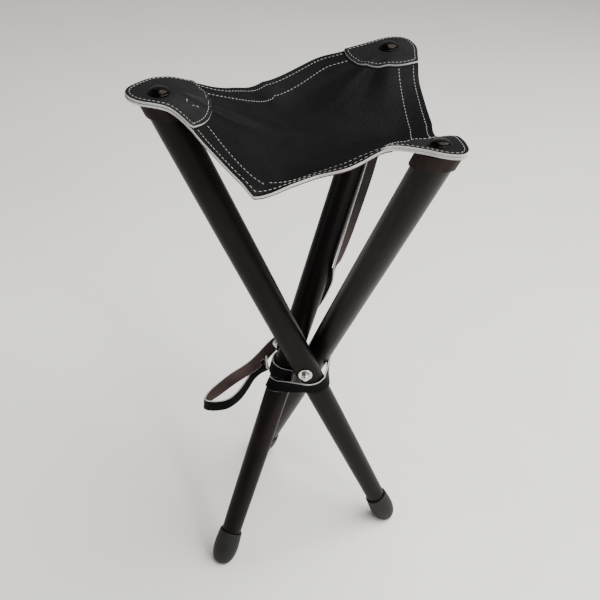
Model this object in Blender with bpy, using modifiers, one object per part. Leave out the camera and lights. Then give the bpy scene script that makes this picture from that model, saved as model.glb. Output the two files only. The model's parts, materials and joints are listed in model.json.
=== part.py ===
"""Folding three-leg hunting stool: round tapered legs on a three-way bolt, a sling seat of
leather, rubber feet and a leather carry strap. Metres, +Z up; the feet stand on z = 0 and the
origin is under the middle of the object's box. The stool stands open, as it does in use.
"""

import math

import bmesh
import bpy
import numpy as np
from mathutils import Euler, Matrix, Vector

COLLECTION = "three_leg_stool"
CUTTERS = "three_leg_stool_cutters"
GAP = 0.0004                 # air between pieces that touch on the real stool
MERGE = 0.0001

# The three-way bolt: its middle, and how its own axis leans from the vertical
HUB_PLACE = Vector((0.0313, -0.0117, 0.2821))
HUB_LEAN = (math.radians(3.17), math.radians(0.85))

# Legs: each turns about its own stud, which points away from the bolt's middle.
# azimuth is the stud's direction and tilt the leg's, both against the bolt's own axis.
LEGS = {
    "left": {"azimuth": math.radians(-86.2), "tilt": math.radians(27.43)},
    "right": {"azimuth": math.radians(33.8), "tilt": math.radians(23.19)},
    "rear": {"azimuth": math.radians(153.8), "tilt": math.radians(28.53)},
}
ORDER = ("left", "right", "rear")
LEG_OFFSET = 0.0216          # from the bolt's middle to a leg's own axis
LEG_UPPER = 0.3987           # from the bolt up to the leg's top
LEG_LOWER = 0.3151           # from the bolt down to the underside of the rubber foot
LEG_TOP_D = 0.0380
LEG_FOOT_D = 0.0244
LEG_SWELL = 0.0024           # how much fuller the leg is halfway than a straight taper
LEG_SPARE = 0.0190           # extra length at its top before that is cut to the seat's slope
LEG_TOP_DROP = 0.0022        # room between that cut and the nominal top
LEG_SIDES = 24
FOOT_SOLE, FOOT_H = 0.0075, 0.0476         # rubber under the wood's end; the foot's height
FOOT_PROFILE = (             # radius and height over the leg's end, top to bottom
    (0.0, 0.0476), (0.0152, 0.0476), (0.0156, 0.0430), (0.0163, 0.0350), (0.0167, 0.0270),
    (0.0165, 0.0190), (0.0151, 0.0110), (0.0128, 0.0048), (0.0096, 0.0006), (0.0055, -0.0016),
    (0.0, -0.0022),
)

# Three-way bolt
KNUCKLE_R, KNUCKLE_H = 0.0047, 0.0120
STUD_R = 0.0030
WASHER_R, WASHER_T = 0.0088, 0.0014
NUT_R, NUT_H, NUT_DOME_R = 0.0058, 0.0048, 0.0046

# Seat corners: the leather's slope over each leg's cut top, outwards and sideways, in degrees
CORNER_SLOPE = {"left": -2.0, "right": 8.0, "rear": 13.0}
CORNER_ROLL = {"left": 5.0, "right": 0.0, "rear": 0.0}
CORNER_RISE = 0.0052         # from the leg's top to the leather's upper face
LEATHER, PATCH_LEATHER = 0.0030, 0.0020
# The collar: its depth and leather, its room round the leg, its drop below the leg's top
CAP_H, CAP_LEATHER, CAP_GAP, CAP_DROP = 0.0160, 0.0018, 0.0009, 0.0036
CUTTER_SIZE = 0.12           # wide enough to cut a leg's or a collar's whole end
# The seat's rim round each corner, from the edge before it to the edge after it: millimetres
# outwards and sideways from the leg's top, and up from it
RIM = {
    "left": ((-93, -75, -15), (-68, -61, -9), (-46, -55, -2.5), (-35, -48, 1.4), (-15, -44, 6.4),
             (5, -40, 6.4), (20, -27, 6.4), (31, -16, 5.4), (35, -4, 4.4), (31, 8, 3), (21, 17, 2),
             (7, 24, 2), (-6, 28, -0.6), (-17, 38, -5.6), (-26, 57, -9.6), (-31.5, 72, -13),
             (-40, 92, -18), (-54, 119, -27), (-66, 135, -36)),
    "right": ((-74, -121, -39), (-66, -95, -31), (-47, -77, -20), (-40, -61, -12), (-33, -50, -3),
              (-28, -42, 1.4), (-15, -32, 4.4), (2, -23, 6.4), (16, -18, 7.9), (27, -10, 8.4),
              (33, -2, 9.6), (29, 8, 10.4), (16, 17, 10.4), (-4, 28, 7.4), (-20, 38, 0.6),
              (-37, 46, -7), (-58, 60, -17), (-82, 77, -28)),
    "rear": ((-95, -93, -32), (-65, -73, -22), (-38, -56, -12), (-27, -50, -4.6), (-2, -39, 1.4),
             (19, -29, 5.4), (29, -18, 8.4), (34, -7, 9.4), (32, 5, 9), (22, 15.5, 8),
             (-1, 34, 2.6), (-20, 55, -4.6), (-41, 78, -12), (-80, 95, -22)),
}
REAR_FOLD = (-36, -16, -3)   # where a fold lifts the leather by the rear corner, given alike

# Middle of each seat edge: bearing and distance from the bolt's middle, height of the leather
EDGE_MIDDLES = {
    ("left", "right"): {"bearing": math.radians(-110.5), "reach": 0.1820, "height": 0.5920},
    ("right", "rear"): {"bearing": math.radians(11.5), "reach": 0.1220, "height": 0.6060},
    ("rear", "left"): {"bearing": math.radians(129.7), "reach": 0.1270, "height": 0.6120},
}
SEAT_MIDDLE_HEIGHT = 0.5840
SEAT_RINGS, SEAT_SPOKES = 10, 96

# A corner's patch, sewn on top: the middle of its round inner end, outwards and sideways from
# the leg's top, with that end's radius; and its upper face's height over the seat's
PATCH_END = {
    "left": (0.028, -0.006, 0.084),
    "right": (0.040, -0.005, 0.084),
    "rear": (0.010, 0.006, 0.055),
}
PATCH_RISE = 0.0032
PATCH_INSET = 0.0006         # from the seat's rim to the patch's
PATCH_MIDDLE = -0.012        # where its spokes meet, outwards from the leg's top
PATCH_SPOKES, PATCH_SHARES = 48, (0.35, 0.65, 0.88, 1.0)

# The hem strips under the seat's edges: across their width, inwards from the rim
STRIP_INSETS = (0.0015, 0.0090, 0.0180, 0.0270)
STRIP_LEATHER, STRIP_POINTS = 0.0014, 27
STRIP_UNDER_PATCH = 0.0140   # how far a strip runs on under the patch at its end
STRIP_DROP = LEATHER + 0.0022

# The domed screws through the corners
STUD_HEAD_R, STUD_HEAD_H, STUD_RIM_H = 0.0122, 0.0058, 0.0012
STUD_DOME_R, STUD_SHANK_R, STUD_SHANK = 0.0100, 0.0022, 0.0200
STUD_BASE = 0.0103           # underside of the head over the leg's top

# Leather ring round the three legs, just under the bolt
RING_TOP, RING_HEIGHT, RING_LEATHER = 0.0105, 0.0150, 0.0024

# Carry strap: its middle line in the bolt's surroundings (metres from the bolt's middle, world
# directions), from under the rear corner down to the ring, and where its brown side faces
STRAP_WIDTH, STRAP_LEATHER = 0.0160, 0.0022
STRAP_ROUTE = (
    ((0.0886, 0.1459, 0.3510), (0.86, -0.50, 0.0)),
    ((0.0844, 0.1372, 0.3318), (0.82, -0.56, 0.0)),
    ((0.0751, 0.1221, 0.2959), (0.66, -0.75, 0.1)),
    ((0.0661, 0.1070, 0.2600), (0.62, -0.78, 0.1)),
    ((0.0582, 0.0920, 0.2227), (0.60, -0.80, 0.1)),
    ((0.0495, 0.0770, 0.1870), (0.62, -0.78, 0.0)),
    ((0.0403, 0.0620, 0.1508), (0.70, -0.70, -0.1)),
    ((0.0351, 0.0540, 0.1327), (0.80, -0.60, -0.1)),
    ((0.0298, 0.0480, 0.1150), (0.90, -0.40, 0.0)),
    ((0.0235, 0.0535, 0.0885), (0.88, 0.30, 0.3)),
    ((0.0107, 0.0640, 0.0485), (0.65, 0.35, 0.6)),
    ((-0.0072, 0.0610, 0.0176), (0.40, -0.20, 0.9)),
    ((-0.0257, 0.0500, -0.0017), (0.15, -0.70, 0.7)),
    ((-0.0443, 0.0360, -0.0145), (0.05, -0.95, 0.3)),
    ((-0.0682, 0.0260, -0.0425), (0.0, -0.96, 0.25)),
    ((-0.0960, 0.0200, -0.0655), (0.0, -0.97, 0.2)),
    ((-0.1170, 0.0150, -0.0855), (0.15, -0.97, 0.1)),
    ((-0.1290, 0.0070, -0.0945), (0.75, -0.65, 0.0)),
    ((-0.1310, -0.0035, -0.0935), (0.98, 0.20, 0.0)),
    ((-0.1240, -0.0110, -0.0905), (0.35, 0.93, 0.0)),
    ((-0.1122, -0.0125, -0.0883), (0.0, 1.0, 0.0)),
    ((-0.0990, -0.0090, -0.0860), (-0.3, 0.95, 0.0)),
    ((-0.0875, 0.0020, -0.0825), (-0.55, 0.83, 0.0)),
    ((-0.0785, 0.0140, -0.0749), (-0.6, 0.8, 0.1)),
    ((-0.0715, 0.0240, -0.0655), (-0.5, 0.8, 0.3)),
    ((-0.0645, 0.0300, -0.0560), (0.0, 0.9, 0.4)),
    ((-0.0565, 0.0270, -0.0450), (0.6, 0.7, 0.3)),
    ((-0.0500, 0.0180, -0.0330), (0.9, 0.4, 0.1)),
    ((-0.0506, 0.0085, -0.0225), (1.0, -0.10, 0.18)),
    ((-0.0498, 0.0000, -0.0170), (1.0, 0.0, 0.18)),
)
STRAP_POINTS = 66
RIVET_INSET = 0.0070         # from the strap's end to the middle of its nail or rivet
RIVET_HEAD_R, RIVET_HEAD_H, RIVET_R = 0.0042, 0.0018, 0.0014

COLOURS = {
    "leg_wood": ((0.018, 0.014, 0.012), 0.32, 0.0),
    "foot_rubber": ((0.022, 0.022, 0.023), 0.70, 0.0),
    "seat_leather": ((0.012, 0.012, 0.013), 0.48, 0.0),
    "patch_leather": ((0.011, 0.011, 0.012), 0.45, 0.0),
    "brown_leather": ((0.075, 0.040, 0.032), 0.75, 0.0),
    "plated_steel": ((0.62, 0.61, 0.58), 0.28, 1.0),
    "stud_bronze": ((0.060, 0.045, 0.036), 0.25, 1.0),
}


def new_collection(name):
    group = bpy.data.collections.new(name)
    bpy.context.scene.collection.children.link(group)
    return group


def material(name):
    colour, roughness, metallic = COLOURS[name]
    made = bpy.data.materials.get(name) or bpy.data.materials.new(name)
    made.use_nodes = True
    shader = made.node_tree.nodes["Principled BSDF"]
    shader.inputs["Base Color"].default_value = (*colour, 1.0)
    shader.inputs["Roughness"].default_value = roughness
    shader.inputs["Metallic"].default_value = metallic
    return made


def add_object(name, mesh, finish, parent=None, place=None):
    made = bpy.data.objects.new(name, mesh)
    bpy.data.collections[COLLECTION].objects.link(made)
    mesh.materials.append(material(finish))
    made.parent = parent
    if place is not None:
        made.matrix_local = place
    return made


def add_empty(name, place, parent=None):
    made = bpy.data.objects.new(name, None)
    bpy.data.collections[COLLECTION].objects.link(made)
    made.parent = parent
    made.matrix_local = place
    return made


def cut(target, cutter, operation="DIFFERENCE"):
    """Cuts target with cutter, which moves to the cutters' collection."""
    for group in cutter.users_collection:
        group.objects.unlink(cutter)
    bpy.data.collections[CUTTERS].objects.link(cutter)
    cutter.hide_render = True
    cutter.display_type = "WIRE"
    boolean = target.modifiers.new(cutter.name, "BOOLEAN")
    boolean.operation = operation
    boolean.object = cutter
    return target


def shade_round(mesh, angle=40.0):
    mesh.shade_smooth()
    mesh.set_sharp_from_angle(angle=math.radians(angle))
    return mesh


def turned(name, profile, sides, finish, parent=None, place=None):
    """A solid turned about local Z. The profile runs down its outer side, top to bottom, and
    where it doesn't end on the axis it comes back up its inner side to where it began."""
    mesh = bpy.data.meshes.new(name)
    work = bmesh.new()
    points = [work.verts.new((radius, 0.0, height)) for radius, height in profile]
    for upper, lower in zip(points, points[1:]):
        work.edges.new((upper, lower))
    if profile[0][0] > 0.0:
        work.edges.new((points[-1], points[0]))
    work.to_mesh(mesh)
    work.free()
    made = add_object(name, mesh, finish, parent, place)
    screw = made.modifiers.new("turn", "SCREW")
    screw.steps = sides
    screw.render_steps = sides
    screw.use_merge_vertices = True
    screw.merge_threshold = MERGE
    screw.use_smooth_shade = True
    return made


def cylinder(name, radius, low, high, sides, finish, parent=None, place=None):
    """A closed cylinder along local Z from low to high."""
    mesh = bpy.data.meshes.new(name)
    work = bmesh.new()
    bmesh.ops.create_cone(work, cap_ends=True, segments=sides, radius1=radius, radius2=radius,
                          depth=high - low,
                          matrix=Matrix.Translation((0.0, 0.0, (low + high) / 2.0)))
    work.to_mesh(mesh)
    work.free()
    return add_object(name, shade_round(mesh), finish, parent, place)


def block(name, size, finish, parent=None, place=None):
    mesh = bpy.data.meshes.new(name)
    work = bmesh.new()
    bmesh.ops.create_cube(work, size=1.0, matrix=Matrix.Diagonal((*size, 1.0)))
    work.to_mesh(mesh)
    work.free()
    return add_object(name, mesh, finish, parent, place)


def sheet(name, grid, closed, thickness, finish, parent=None, offset=-1.0):
    """A solid of even thickness on a grid of points, rows of equal length. The thickness is
    added behind the grid's faces, or evenly on both sides of them at an offset of 0."""
    mesh = bpy.data.meshes.new(name)
    work = bmesh.new()
    rows = [[work.verts.new(point) for point in row] for row in grid]
    count = len(rows[0])
    for upper, lower in zip(rows, rows[1:]):
        for i in range(count if closed else count - 1):
            j = (i + 1) % count
            work.faces.new((upper[i], upper[j], lower[j], lower[i]))
    bmesh.ops.remove_doubles(work, verts=work.verts, dist=MERGE)
    work.to_mesh(mesh)
    work.free()
    made = add_object(name, mesh, finish, parent)
    solid = made.modifiers.new("thickness", "SOLIDIFY")
    solid.thickness = thickness
    solid.offset = offset
    solid.use_even_offset = True
    return made


def hub_matrix():
    lean = Euler((HUB_LEAN[0], HUB_LEAN[1], 0.0)).to_matrix().to_4x4()
    return Matrix.Translation(HUB_PLACE) @ lean


def leg_matrix(leg):
    """From a leg's own directions (X along its stud, Z up the leg) to the bolt's."""
    return Euler((leg["tilt"], 0.0, leg["azimuth"])).to_matrix().to_4x4()


def along_stud():
    """Turns a piece's Z to point along the stud, away from the bolt's middle."""
    return Matrix.Rotation(math.pi / 2.0, 4, "Y")


def leg_radius(height):
    """The leg's radius at a height above the bolt, measured along the leg."""
    share = (height + LEG_LOWER) / (LEG_UPPER + LEG_LOWER)
    swell = LEG_SWELL * 4.0 * share * (1.0 - share)
    return (LEG_FOOT_D + (LEG_TOP_D - LEG_FOOT_D) * share + swell) / 2.0


class Corner:
    """A seat corner: the leg's top, the leather's slope there and the directions to work in."""

    def __init__(self, name):
        place = hub_matrix() @ leg_matrix(LEGS[name])
        self.name = name
        self.top = place @ Vector((LEG_OFFSET, 0.0, LEG_UPPER))
        self.out = Vector((*(self.top - HUB_PLACE).xy, 0.0)).normalized()
        self.side = Vector((-self.out.y, self.out.x, 0.0))
        self.slope = math.tan(math.radians(CORNER_SLOPE[name]))
        roll = math.tan(math.radians(CORNER_ROLL[name]))
        normal = (Vector((0.0, 0.0, 1.0)) - self.out * self.slope + self.side * roll).normalized()
        across = normal.cross(self.out).normalized()
        self.frame = Matrix((across.cross(normal), across, normal)).transposed().to_4x4()
        self.frame.translation = self.top

    def plan(self, outwards, sideways):
        """A point of the seat's plan, given from the leg's top."""
        point = self.top + self.out * outwards + self.side * sideways
        return Vector((point.x, point.y))


def edge_middle(pair):
    place = EDGE_MIDDLES[pair]
    return Vector((HUB_PLACE.x + place["reach"] * math.cos(place["bearing"]),
                   HUB_PLACE.y + place["reach"] * math.sin(place["bearing"])))


def neighbours(name):
    """The edges before and after a corner."""
    index = ORDER.index(name)
    return (ORDER[index - 1], name), (name, ORDER[(index + 1) % 3])


def rim_curve(corner, steps):
    """The seat's plan round one corner, from one edge's middle to the next, as a smooth curve
    with so many steps between the points that are given. The last middle is left out."""
    before, after = (edge_middle(pair) for pair in neighbours(corner.name))
    rim = [corner.plan(out / 1000.0, side / 1000.0) for out, side, _ in RIM[corner.name]]
    points = [before, *rim, after]
    curve = []
    for index in range(len(points) - 1):
        near = [points[min(max(index + shift, 0), len(points) - 1)] for shift in (-1, 0, 1, 2)]
        curve += [catmull(near, step / steps) for step in range(steps)]
    return curve


def catmull(near, share):
    """A smooth curve's point between the two middle ones of four."""
    a, b, c, d = near
    return 0.5 * (2.0 * b + (c - a) * share + (2.0 * a - 5.0 * b + 4.0 * c - d) * share ** 2
                  + (3.0 * b - a - 3.0 * c + d) * share ** 3)


def in_patch(corner, spot, margin):
    outwards, sideways, radius = PATCH_END[corner.name]
    return (spot - corner.plan(outwards, sideways)).length < radius + margin


def resample(points, count, closed=True):
    """Evenly spaced points along a line of straight stretches. A point may carry further
    values after its three coordinates."""
    line = [Vector(point) for point in points]
    if closed:
        line.append(line[0])
    lengths = np.cumsum([0.0] + [Vector((b - a)[:3]).length for a, b in zip(line, line[1:])])
    places = np.linspace(0.0, lengths[-1], count, endpoint=not closed)
    stretched = [np.interp(places, lengths, [point[axis] for point in line])
                 for axis in range(len(line[0]))]
    return [Vector(values) for values in zip(*stretched)]


class Leather:
    """Height of the seat's upper face over its plan: a thin plate bent through the corners,
    the middles of the edges and the middle of the sling."""

    def __init__(self, corners):
        pins = []
        lifts = {name: list(RIM[name]) for name in corners}
        lifts["rear"].append(REAR_FOLD)
        for corner in corners.values():
            for outwards in (0.0, 0.020, -0.018):
                height = corner.top.z + CORNER_RISE + outwards * corner.slope
                pins.append((*corner.plan(outwards, 0.0), height))
            for outwards, sideways, height in lifts[corner.name]:
                spot = corner.plan(outwards / 1000.0, sideways / 1000.0)
                pins.append((*spot, corner.top.z + height / 1000.0))
            for share, fall in ((0.66, 0.27), (0.33, 0.74)):
                spot = Vector(HUB_PLACE.xy).lerp(corner.plan(0.0, 0.0), share)
                height = corner.top.z + fall * (SEAT_MIDDLE_HEIGHT - corner.top.z)
                pins.append((*spot, height))
        pins.append((HUB_PLACE.x, HUB_PLACE.y, SEAT_MIDDLE_HEIGHT))
        for pair, place in EDGE_MIDDLES.items():
            spot = edge_middle(pair)
            pins.append((*spot, place["height"]))
            inner = Vector(HUB_PLACE.xy).lerp(spot, 0.66)
            pins.append((*inner, 0.45 * place["height"] + 0.55 * SEAT_MIDDLE_HEIGHT - 0.003))
        self.spots = np.array([pin[:2] for pin in pins])
        count = len(pins)
        system = np.zeros((count + 3, count + 3))
        system[:count, :count] = self.plate(self.spots)
        system[:count, count:] = np.c_[np.ones(count), self.spots]
        system[count:, :count] = system[:count, count:].T
        wanted = np.r_[[pin[2] for pin in pins], 0.0, 0.0, 0.0]
        self.weights = np.linalg.solve(system, wanted)

    def plate(self, spots):
        squared = ((spots[:, None] - self.spots[None]) ** 2).sum(axis=2)
        return 0.5 * squared * np.log(np.maximum(squared, 1e-12))

    def point(self, spot, lower=0.0):
        """The point of the upper face over a spot of the plan, or that far below it."""
        where = np.array([[spot[0], spot[1]]])
        basis = np.r_[self.plate(where)[0], 1.0, where[0]]
        return Vector((spot[0], spot[1], float(basis @ self.weights) - lower))


def make_legs(hub):
    """Legs, rubber feet and the studs' hardware, each on the stud's own axis."""
    floor = block("floor_cutter", (1.0, 1.0, 0.1), "foot_rubber",
                  place=Matrix.Translation((0.0, 0.0, -0.05)))
    for name, leg in LEGS.items():
        axis = add_empty("leg_axis_" + name, leg_matrix(leg), hub)
        on_leg = Matrix.Translation((LEG_OFFSET, 0.0, 0.0))
        corner = Corner(name)
        make_leg(name, axis, on_leg, corner)
        make_foot(name, axis, on_leg, floor)
        make_stud_hardware(name, axis)


def make_leg(name, axis, on_leg, corner):
    bottom = -LEG_LOWER + FOOT_SOLE
    heights = [LEG_UPPER + LEG_SPARE, 0.30, 0.20, 0.10, 0.0, -0.10, -0.20, bottom + 0.002]
    profile = [(0.0, heights[0])]
    profile += [(leg_radius(height), height) for height in heights]
    profile += [(leg_radius(bottom) - 0.0015, bottom), (0.0, bottom)]
    leg = turned("leg_" + name, profile, LEG_SIDES, "leg_wood", axis, on_leg)
    bore = cylinder("stud_bore_" + name, STUD_R + GAP, -0.03, 0.03, 16, "leg_wood", axis,
                    on_leg @ along_stud())
    cut(leg, bore)
    cut(leg, corner_slab(corner, "leg_top_cutter_" + name, -LEG_TOP_DROP, CUTTER_SIZE))
    hole = cylinder("stud_hole_" + name, STUD_SHANK_R + GAP, -STUD_SHANK - 0.001, 0.02, 14,
                    "leg_wood", place=corner.frame)
    cut(leg, hole)


def make_foot(name, axis, on_leg, floor):
    """A rubber ferrule over the leg's end: a solid plug, fullest below its middle, with the
    leg's socket cut out of it and a worn flat sole."""
    bottom = -LEG_LOWER
    inside = bottom + FOOT_SOLE - GAP
    bore_low = leg_radius(inside) + GAP
    bore_high = leg_radius(bottom + FOOT_H) + GAP
    profile = [(radius, bottom + height) for radius, height in FOOT_PROFILE]
    foot = turned("foot_" + name, profile, LEG_SIDES, "foot_rubber", axis, on_leg)
    above = bottom + FOOT_H + 0.010
    socket = turned("foot_socket_" + name, [(0.0, above), (bore_high, above),
                                            (bore_high, bottom + FOOT_H), (bore_low, inside),
                                            (0.0, inside)],
                    LEG_SIDES, "foot_rubber", axis, on_leg)
    cut(foot, socket)
    cut(foot, floor)


def make_stud_hardware(name, axis):
    """The washer and the domed nut that hold a leg on its stud; they stay with the bolt."""
    outside = LEG_OFFSET + leg_radius(0.0) + GAP
    bore = STUD_R + GAP
    turned("washer_" + name, [(bore, outside + WASHER_T), (WASHER_R - 0.0003, outside + WASHER_T),
                              (WASHER_R, outside + WASHER_T - 0.0003), (WASHER_R, outside),
                              (bore, outside)], 24, "plated_steel", axis, along_stud())
    seat = outside + WASHER_T + GAP
    nut = cylinder("cap_nut_" + name, NUT_R, seat, seat + NUT_H, 6, "plated_steel", axis,
                   along_stud())
    dome_profile = [(0.0, seat + NUT_H + 0.0034)]
    for step in range(1, 5):
        angle = math.radians(90.0 * step / 4.0)
        dome_profile.append((NUT_DOME_R * math.sin(angle),
                             seat + NUT_H + 0.0034 * math.cos(angle)))
    dome_profile += [(NUT_DOME_R, seat + NUT_H - 0.001), (0.0, seat + NUT_H - 0.001)]
    dome = turned("nut_dome_" + name, dome_profile, 18, "plated_steel", axis, along_stud())
    cut(nut, dome, "UNION")
    hole = cylinder("nut_hole_" + name, bore, seat - 0.002, seat + NUT_H, 14, "plated_steel",
                    axis, along_stud())
    cut(nut, hole)


def make_bolt(hub):
    """The three-way bolt: a knuckle with one threaded stud for each leg."""
    bolt = cylinder("tripod_bolt", KNUCKLE_R, -KNUCKLE_H / 2.0, KNUCKLE_H / 2.0, 20,
                    "plated_steel", hub)
    reach = LEG_OFFSET + leg_radius(0.0) + WASHER_T + NUT_H
    for name, leg in LEGS.items():
        direction = Matrix.Rotation(leg["azimuth"], 4, "Z") @ along_stud()
        stud = cylinder("stud_" + name, STUD_R, 0.0, reach, 14, "plated_steel", hub, direction)
        cut(bolt, stud, "UNION")


def corner_slab(corner, name, low, high):
    """A slab square to the leather's slope at a corner."""
    middle = Matrix.Translation((0.0, 0.0, (low + high) / 2.0))
    return block(name, (CUTTER_SIZE, CUTTER_SIZE, high - low), "brown_leather",
                 place=corner.frame @ middle)


def make_leg_cap(corner):
    """The brown leather collar round a leg's top, cut to the slope of the seat above it."""
    name = corner.name
    axis = bpy.data.objects["leg_axis_" + name]
    inner = leg_radius(LEG_UPPER) + CAP_GAP
    outer = inner + CAP_LEATHER
    low, high = LEG_UPPER - 0.045, LEG_UPPER + 0.025
    cap = turned("leg_cap_" + name, [(inner, high), (outer, high), (outer, low), (inner, low)],
                 LEG_SIDES, "brown_leather", axis, Matrix.Translation((LEG_OFFSET, 0.0, 0.0)))
    cut(cap, corner_slab(corner, "cap_slab_" + name, -CAP_H, -CAP_DROP), "INTERSECT")


def make_seat_stud(corner, pieces):
    """The domed bronze screw through each corner of the seat into the leg."""
    name = corner.name
    rim = STUD_BASE + STUD_RIM_H
    profile = [(0.0, STUD_BASE + STUD_HEAD_H)]
    for step in range(1, 5):
        angle = math.radians(90.0 * step / 4.0)
        profile.append((STUD_DOME_R * math.sin(angle),
                        rim + (STUD_HEAD_H - STUD_RIM_H) * math.cos(angle)))
    profile += [(STUD_HEAD_R - 0.0004, rim), (STUD_HEAD_R, rim - 0.0004),
                (STUD_HEAD_R, STUD_BASE), (STUD_SHANK_R, STUD_BASE),
                (STUD_SHANK_R, -STUD_SHANK), (0.0, -STUD_SHANK - 0.0005)]
    turned("seat_stud_" + name, profile, 24, "stud_bronze", place=corner.frame)
    for piece in pieces:
        hole = cylinder("hole_{}_{}".format(piece.name, name), STUD_SHANK_R + 2.0 * GAP,
                        -0.01, 0.02, 14, "seat_leather", place=corner.frame)
        cut(piece, hole)


def make_seat(corners, leather):
    """The sling: spokes from its middle to the outline, rows growing out towards the edge."""
    outline = []
    for name in ORDER:
        outline += rim_curve(corners[name], 12)
    outline = resample(outline, SEAT_SPOKES)
    middle = Vector(HUB_PLACE.xy)
    rows = [[leather.point(middle)] * SEAT_SPOKES]
    for ring in range(1, SEAT_RINGS + 1):
        share = math.sin(math.pi / 2.0 * ring / SEAT_RINGS) ** 0.85
        rows.append([leather.point(middle.lerp(spot, share)) for spot in outline])
    return sheet("seat_leather", rows[::-1], True, LEATHER, "seat_leather")


def make_edge_strips(corners, leather):
    """A strip of leather sewn under each edge of the seat, from one corner's patch to the
    next one's."""
    hub = Vector(HUB_PLACE.xy)
    for name, following in EDGE_MIDDLES:
        ends = []
        for corner, half in ((corners[name], 1), (corners[following], 0)):
            curve = rim_curve(corner, 12)
            middle = len(curve) // 2
            run = curve[middle:] if half else curve[:middle]
            ends.append([spot for spot in run if not in_patch(corner, spot, -STRIP_UNDER_PATCH)])
        line = resample([*ends[0], *ends[1]], STRIP_POINTS, closed=False)
        grid = []
        for inset in STRIP_INSETS:
            moved = [spot.lerp(hub, inset / (spot - hub).length) for spot in line]
            grid.append([leather.point(spot, STRIP_DROP) for spot in moved])
        sheet("edge_strip_{}_{}".format(name, following), grid, False, STRIP_LEATHER,
              "brown_leather")


def make_corner_patch(corner, leather):
    """The second leather layer on top of a corner: the seat's own outline, cut off inwards
    by a round end."""
    middle = corner.plan(PATCH_MIDDLE, 0.0)
    outwards, sideways, radius = PATCH_END[corner.name]
    from_arc = middle - corner.plan(outwards, sideways)
    rim = np.array([tuple(spot - middle) for spot in rim_curve(corner, 12)])
    bearings = np.unwrap(np.arctan2(rim[:, 1], rim[:, 0]))
    reaches = np.linalg.norm(rim, axis=1)
    spokes = []
    for step in range(PATCH_SPOKES):
        angle = 2.0 * math.pi * step / PATCH_SPOKES
        ray = Vector((math.cos(angle), math.sin(angle)))
        bearing = bearings[0] + (angle - bearings[0]) % (2.0 * math.pi)
        to_rim = float(np.interp(bearing, bearings, reaches, right=1.0)) - PATCH_INSET
        along = from_arc.dot(ray)
        to_arc = math.sqrt(along ** 2 + radius ** 2 - from_arc.length_squared) - along
        spokes.append(middle + ray * min(to_rim, to_arc))
    rows = [[leather.point(middle, -PATCH_RISE)] * PATCH_SPOKES]
    for share in PATCH_SHARES:
        rows.append([leather.point(middle.lerp(spot, share), -PATCH_RISE) for spot in spokes])
    return sheet("corner_patch_" + corner.name, rows[::-1], True, PATCH_LEATHER,
                 "patch_leather")


def leg_middle_at(name, depth):
    """The middle of a leg's section at a depth under the bolt, in the bolt's directions."""
    leg = LEGS[name]
    axis = leg_matrix(leg)
    return axis @ Vector((LEG_OFFSET, 0.0, -depth / math.cos(leg["tilt"])))


def ring_outline(depth, radius):
    """A band drawn tight round the three legs at one depth: an arc on each leg."""
    centres = {name: leg_middle_at(name, depth).xy for name in ORDER}
    outline = []
    for name in ORDER:
        ways = []
        for start, end in neighbours(name):
            edge = centres[end] - centres[start]
            ways.append(math.atan2(-edge.x, edge.y))
        sweep = (ways[1] - ways[0]) % (2.0 * math.pi)
        for step in range(8):
            angle = ways[0] + sweep * step / 7.0
            spot = centres[name] + radius * Vector((math.cos(angle), math.sin(angle)))
            outline.append(Vector((spot.x, spot.y, -depth)))
    return outline


def make_ring(hub):
    radius = leg_radius(-RING_TOP) / math.cos(max(leg["tilt"] for leg in LEGS.values()))
    radius += RING_LEATHER + 0.0008
    depths = [RING_TOP + RING_HEIGHT * step / 2.0 for step in range(3)]
    sheet("ring_strap", [ring_outline(depth, radius) for depth in depths][::-1], True,
          RING_LEATHER, "patch_leather", hub)


def smooth_route(count):
    """Points and facings evenly along a smooth curve through the strap's route."""
    points = [Vector(place) for place, _ in STRAP_ROUTE]
    faces = [Vector(face).normalized() for _, face in STRAP_ROUTE]
    fine, facing = [], []
    for index in range(len(points) - 1):
        around = [min(max(index + shift, 0), len(points) - 1) for shift in (-1, 0, 1, 2)]
        for step in range(8):
            share = step / 8.0
            fine.append(catmull([points[i] for i in around], share))
            facing.append(faces[index].lerp(faces[index + 1], share))
    fine.append(points[-1])
    facing.append(faces[-1])
    joined = resample([Vector((*a, *b)) for a, b in zip(fine, facing)], count, closed=False)
    return [Vector(v[:3]) for v in joined], [Vector(v[3:]).normalized() for v in joined]


def make_strap():
    points, faces = smooth_route(STRAP_POINTS)
    edges = [[], []]
    for index, point in enumerate(points):
        ahead = points[min(index + 1, len(points) - 1)]
        behind = points[max(index - 1, 0)]
        along = (ahead - behind).normalized()
        across = along.cross(faces[index]).normalized() * STRAP_WIDTH / 2.0
        for side, edge in zip((-1.0, 1.0), edges):
            edge.append(point + HUB_PLACE + across * side)
    sheet("carry_strap", edges, False, STRAP_LEATHER, "brown_leather", offset=0.0)


def rivet(name, reach, place, pieces):
    """A domed rivet or nail: its head's underside at local Z 0, its shank down to -reach, and
    the holes that it makes in the pieces that it goes through."""
    profile = [(0.0, RIVET_HEAD_H)]
    for step in range(1, 4):
        angle = math.radians(90.0 * step / 3.0)
        profile.append((RIVET_HEAD_R * math.sin(angle), RIVET_HEAD_H * math.cos(angle)))
    profile += [(RIVET_R, 0.0), (RIVET_R, -reach), (0.0, -reach)]
    turned(name, profile, 12, "stud_bronze", place=place)
    for piece in pieces:
        cut(piece, cylinder("hole_{}_{}".format(piece.name, name), RIVET_R + GAP,
                            -reach - 0.0006, 0.002, 10, "stud_bronze", place=place))


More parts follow.
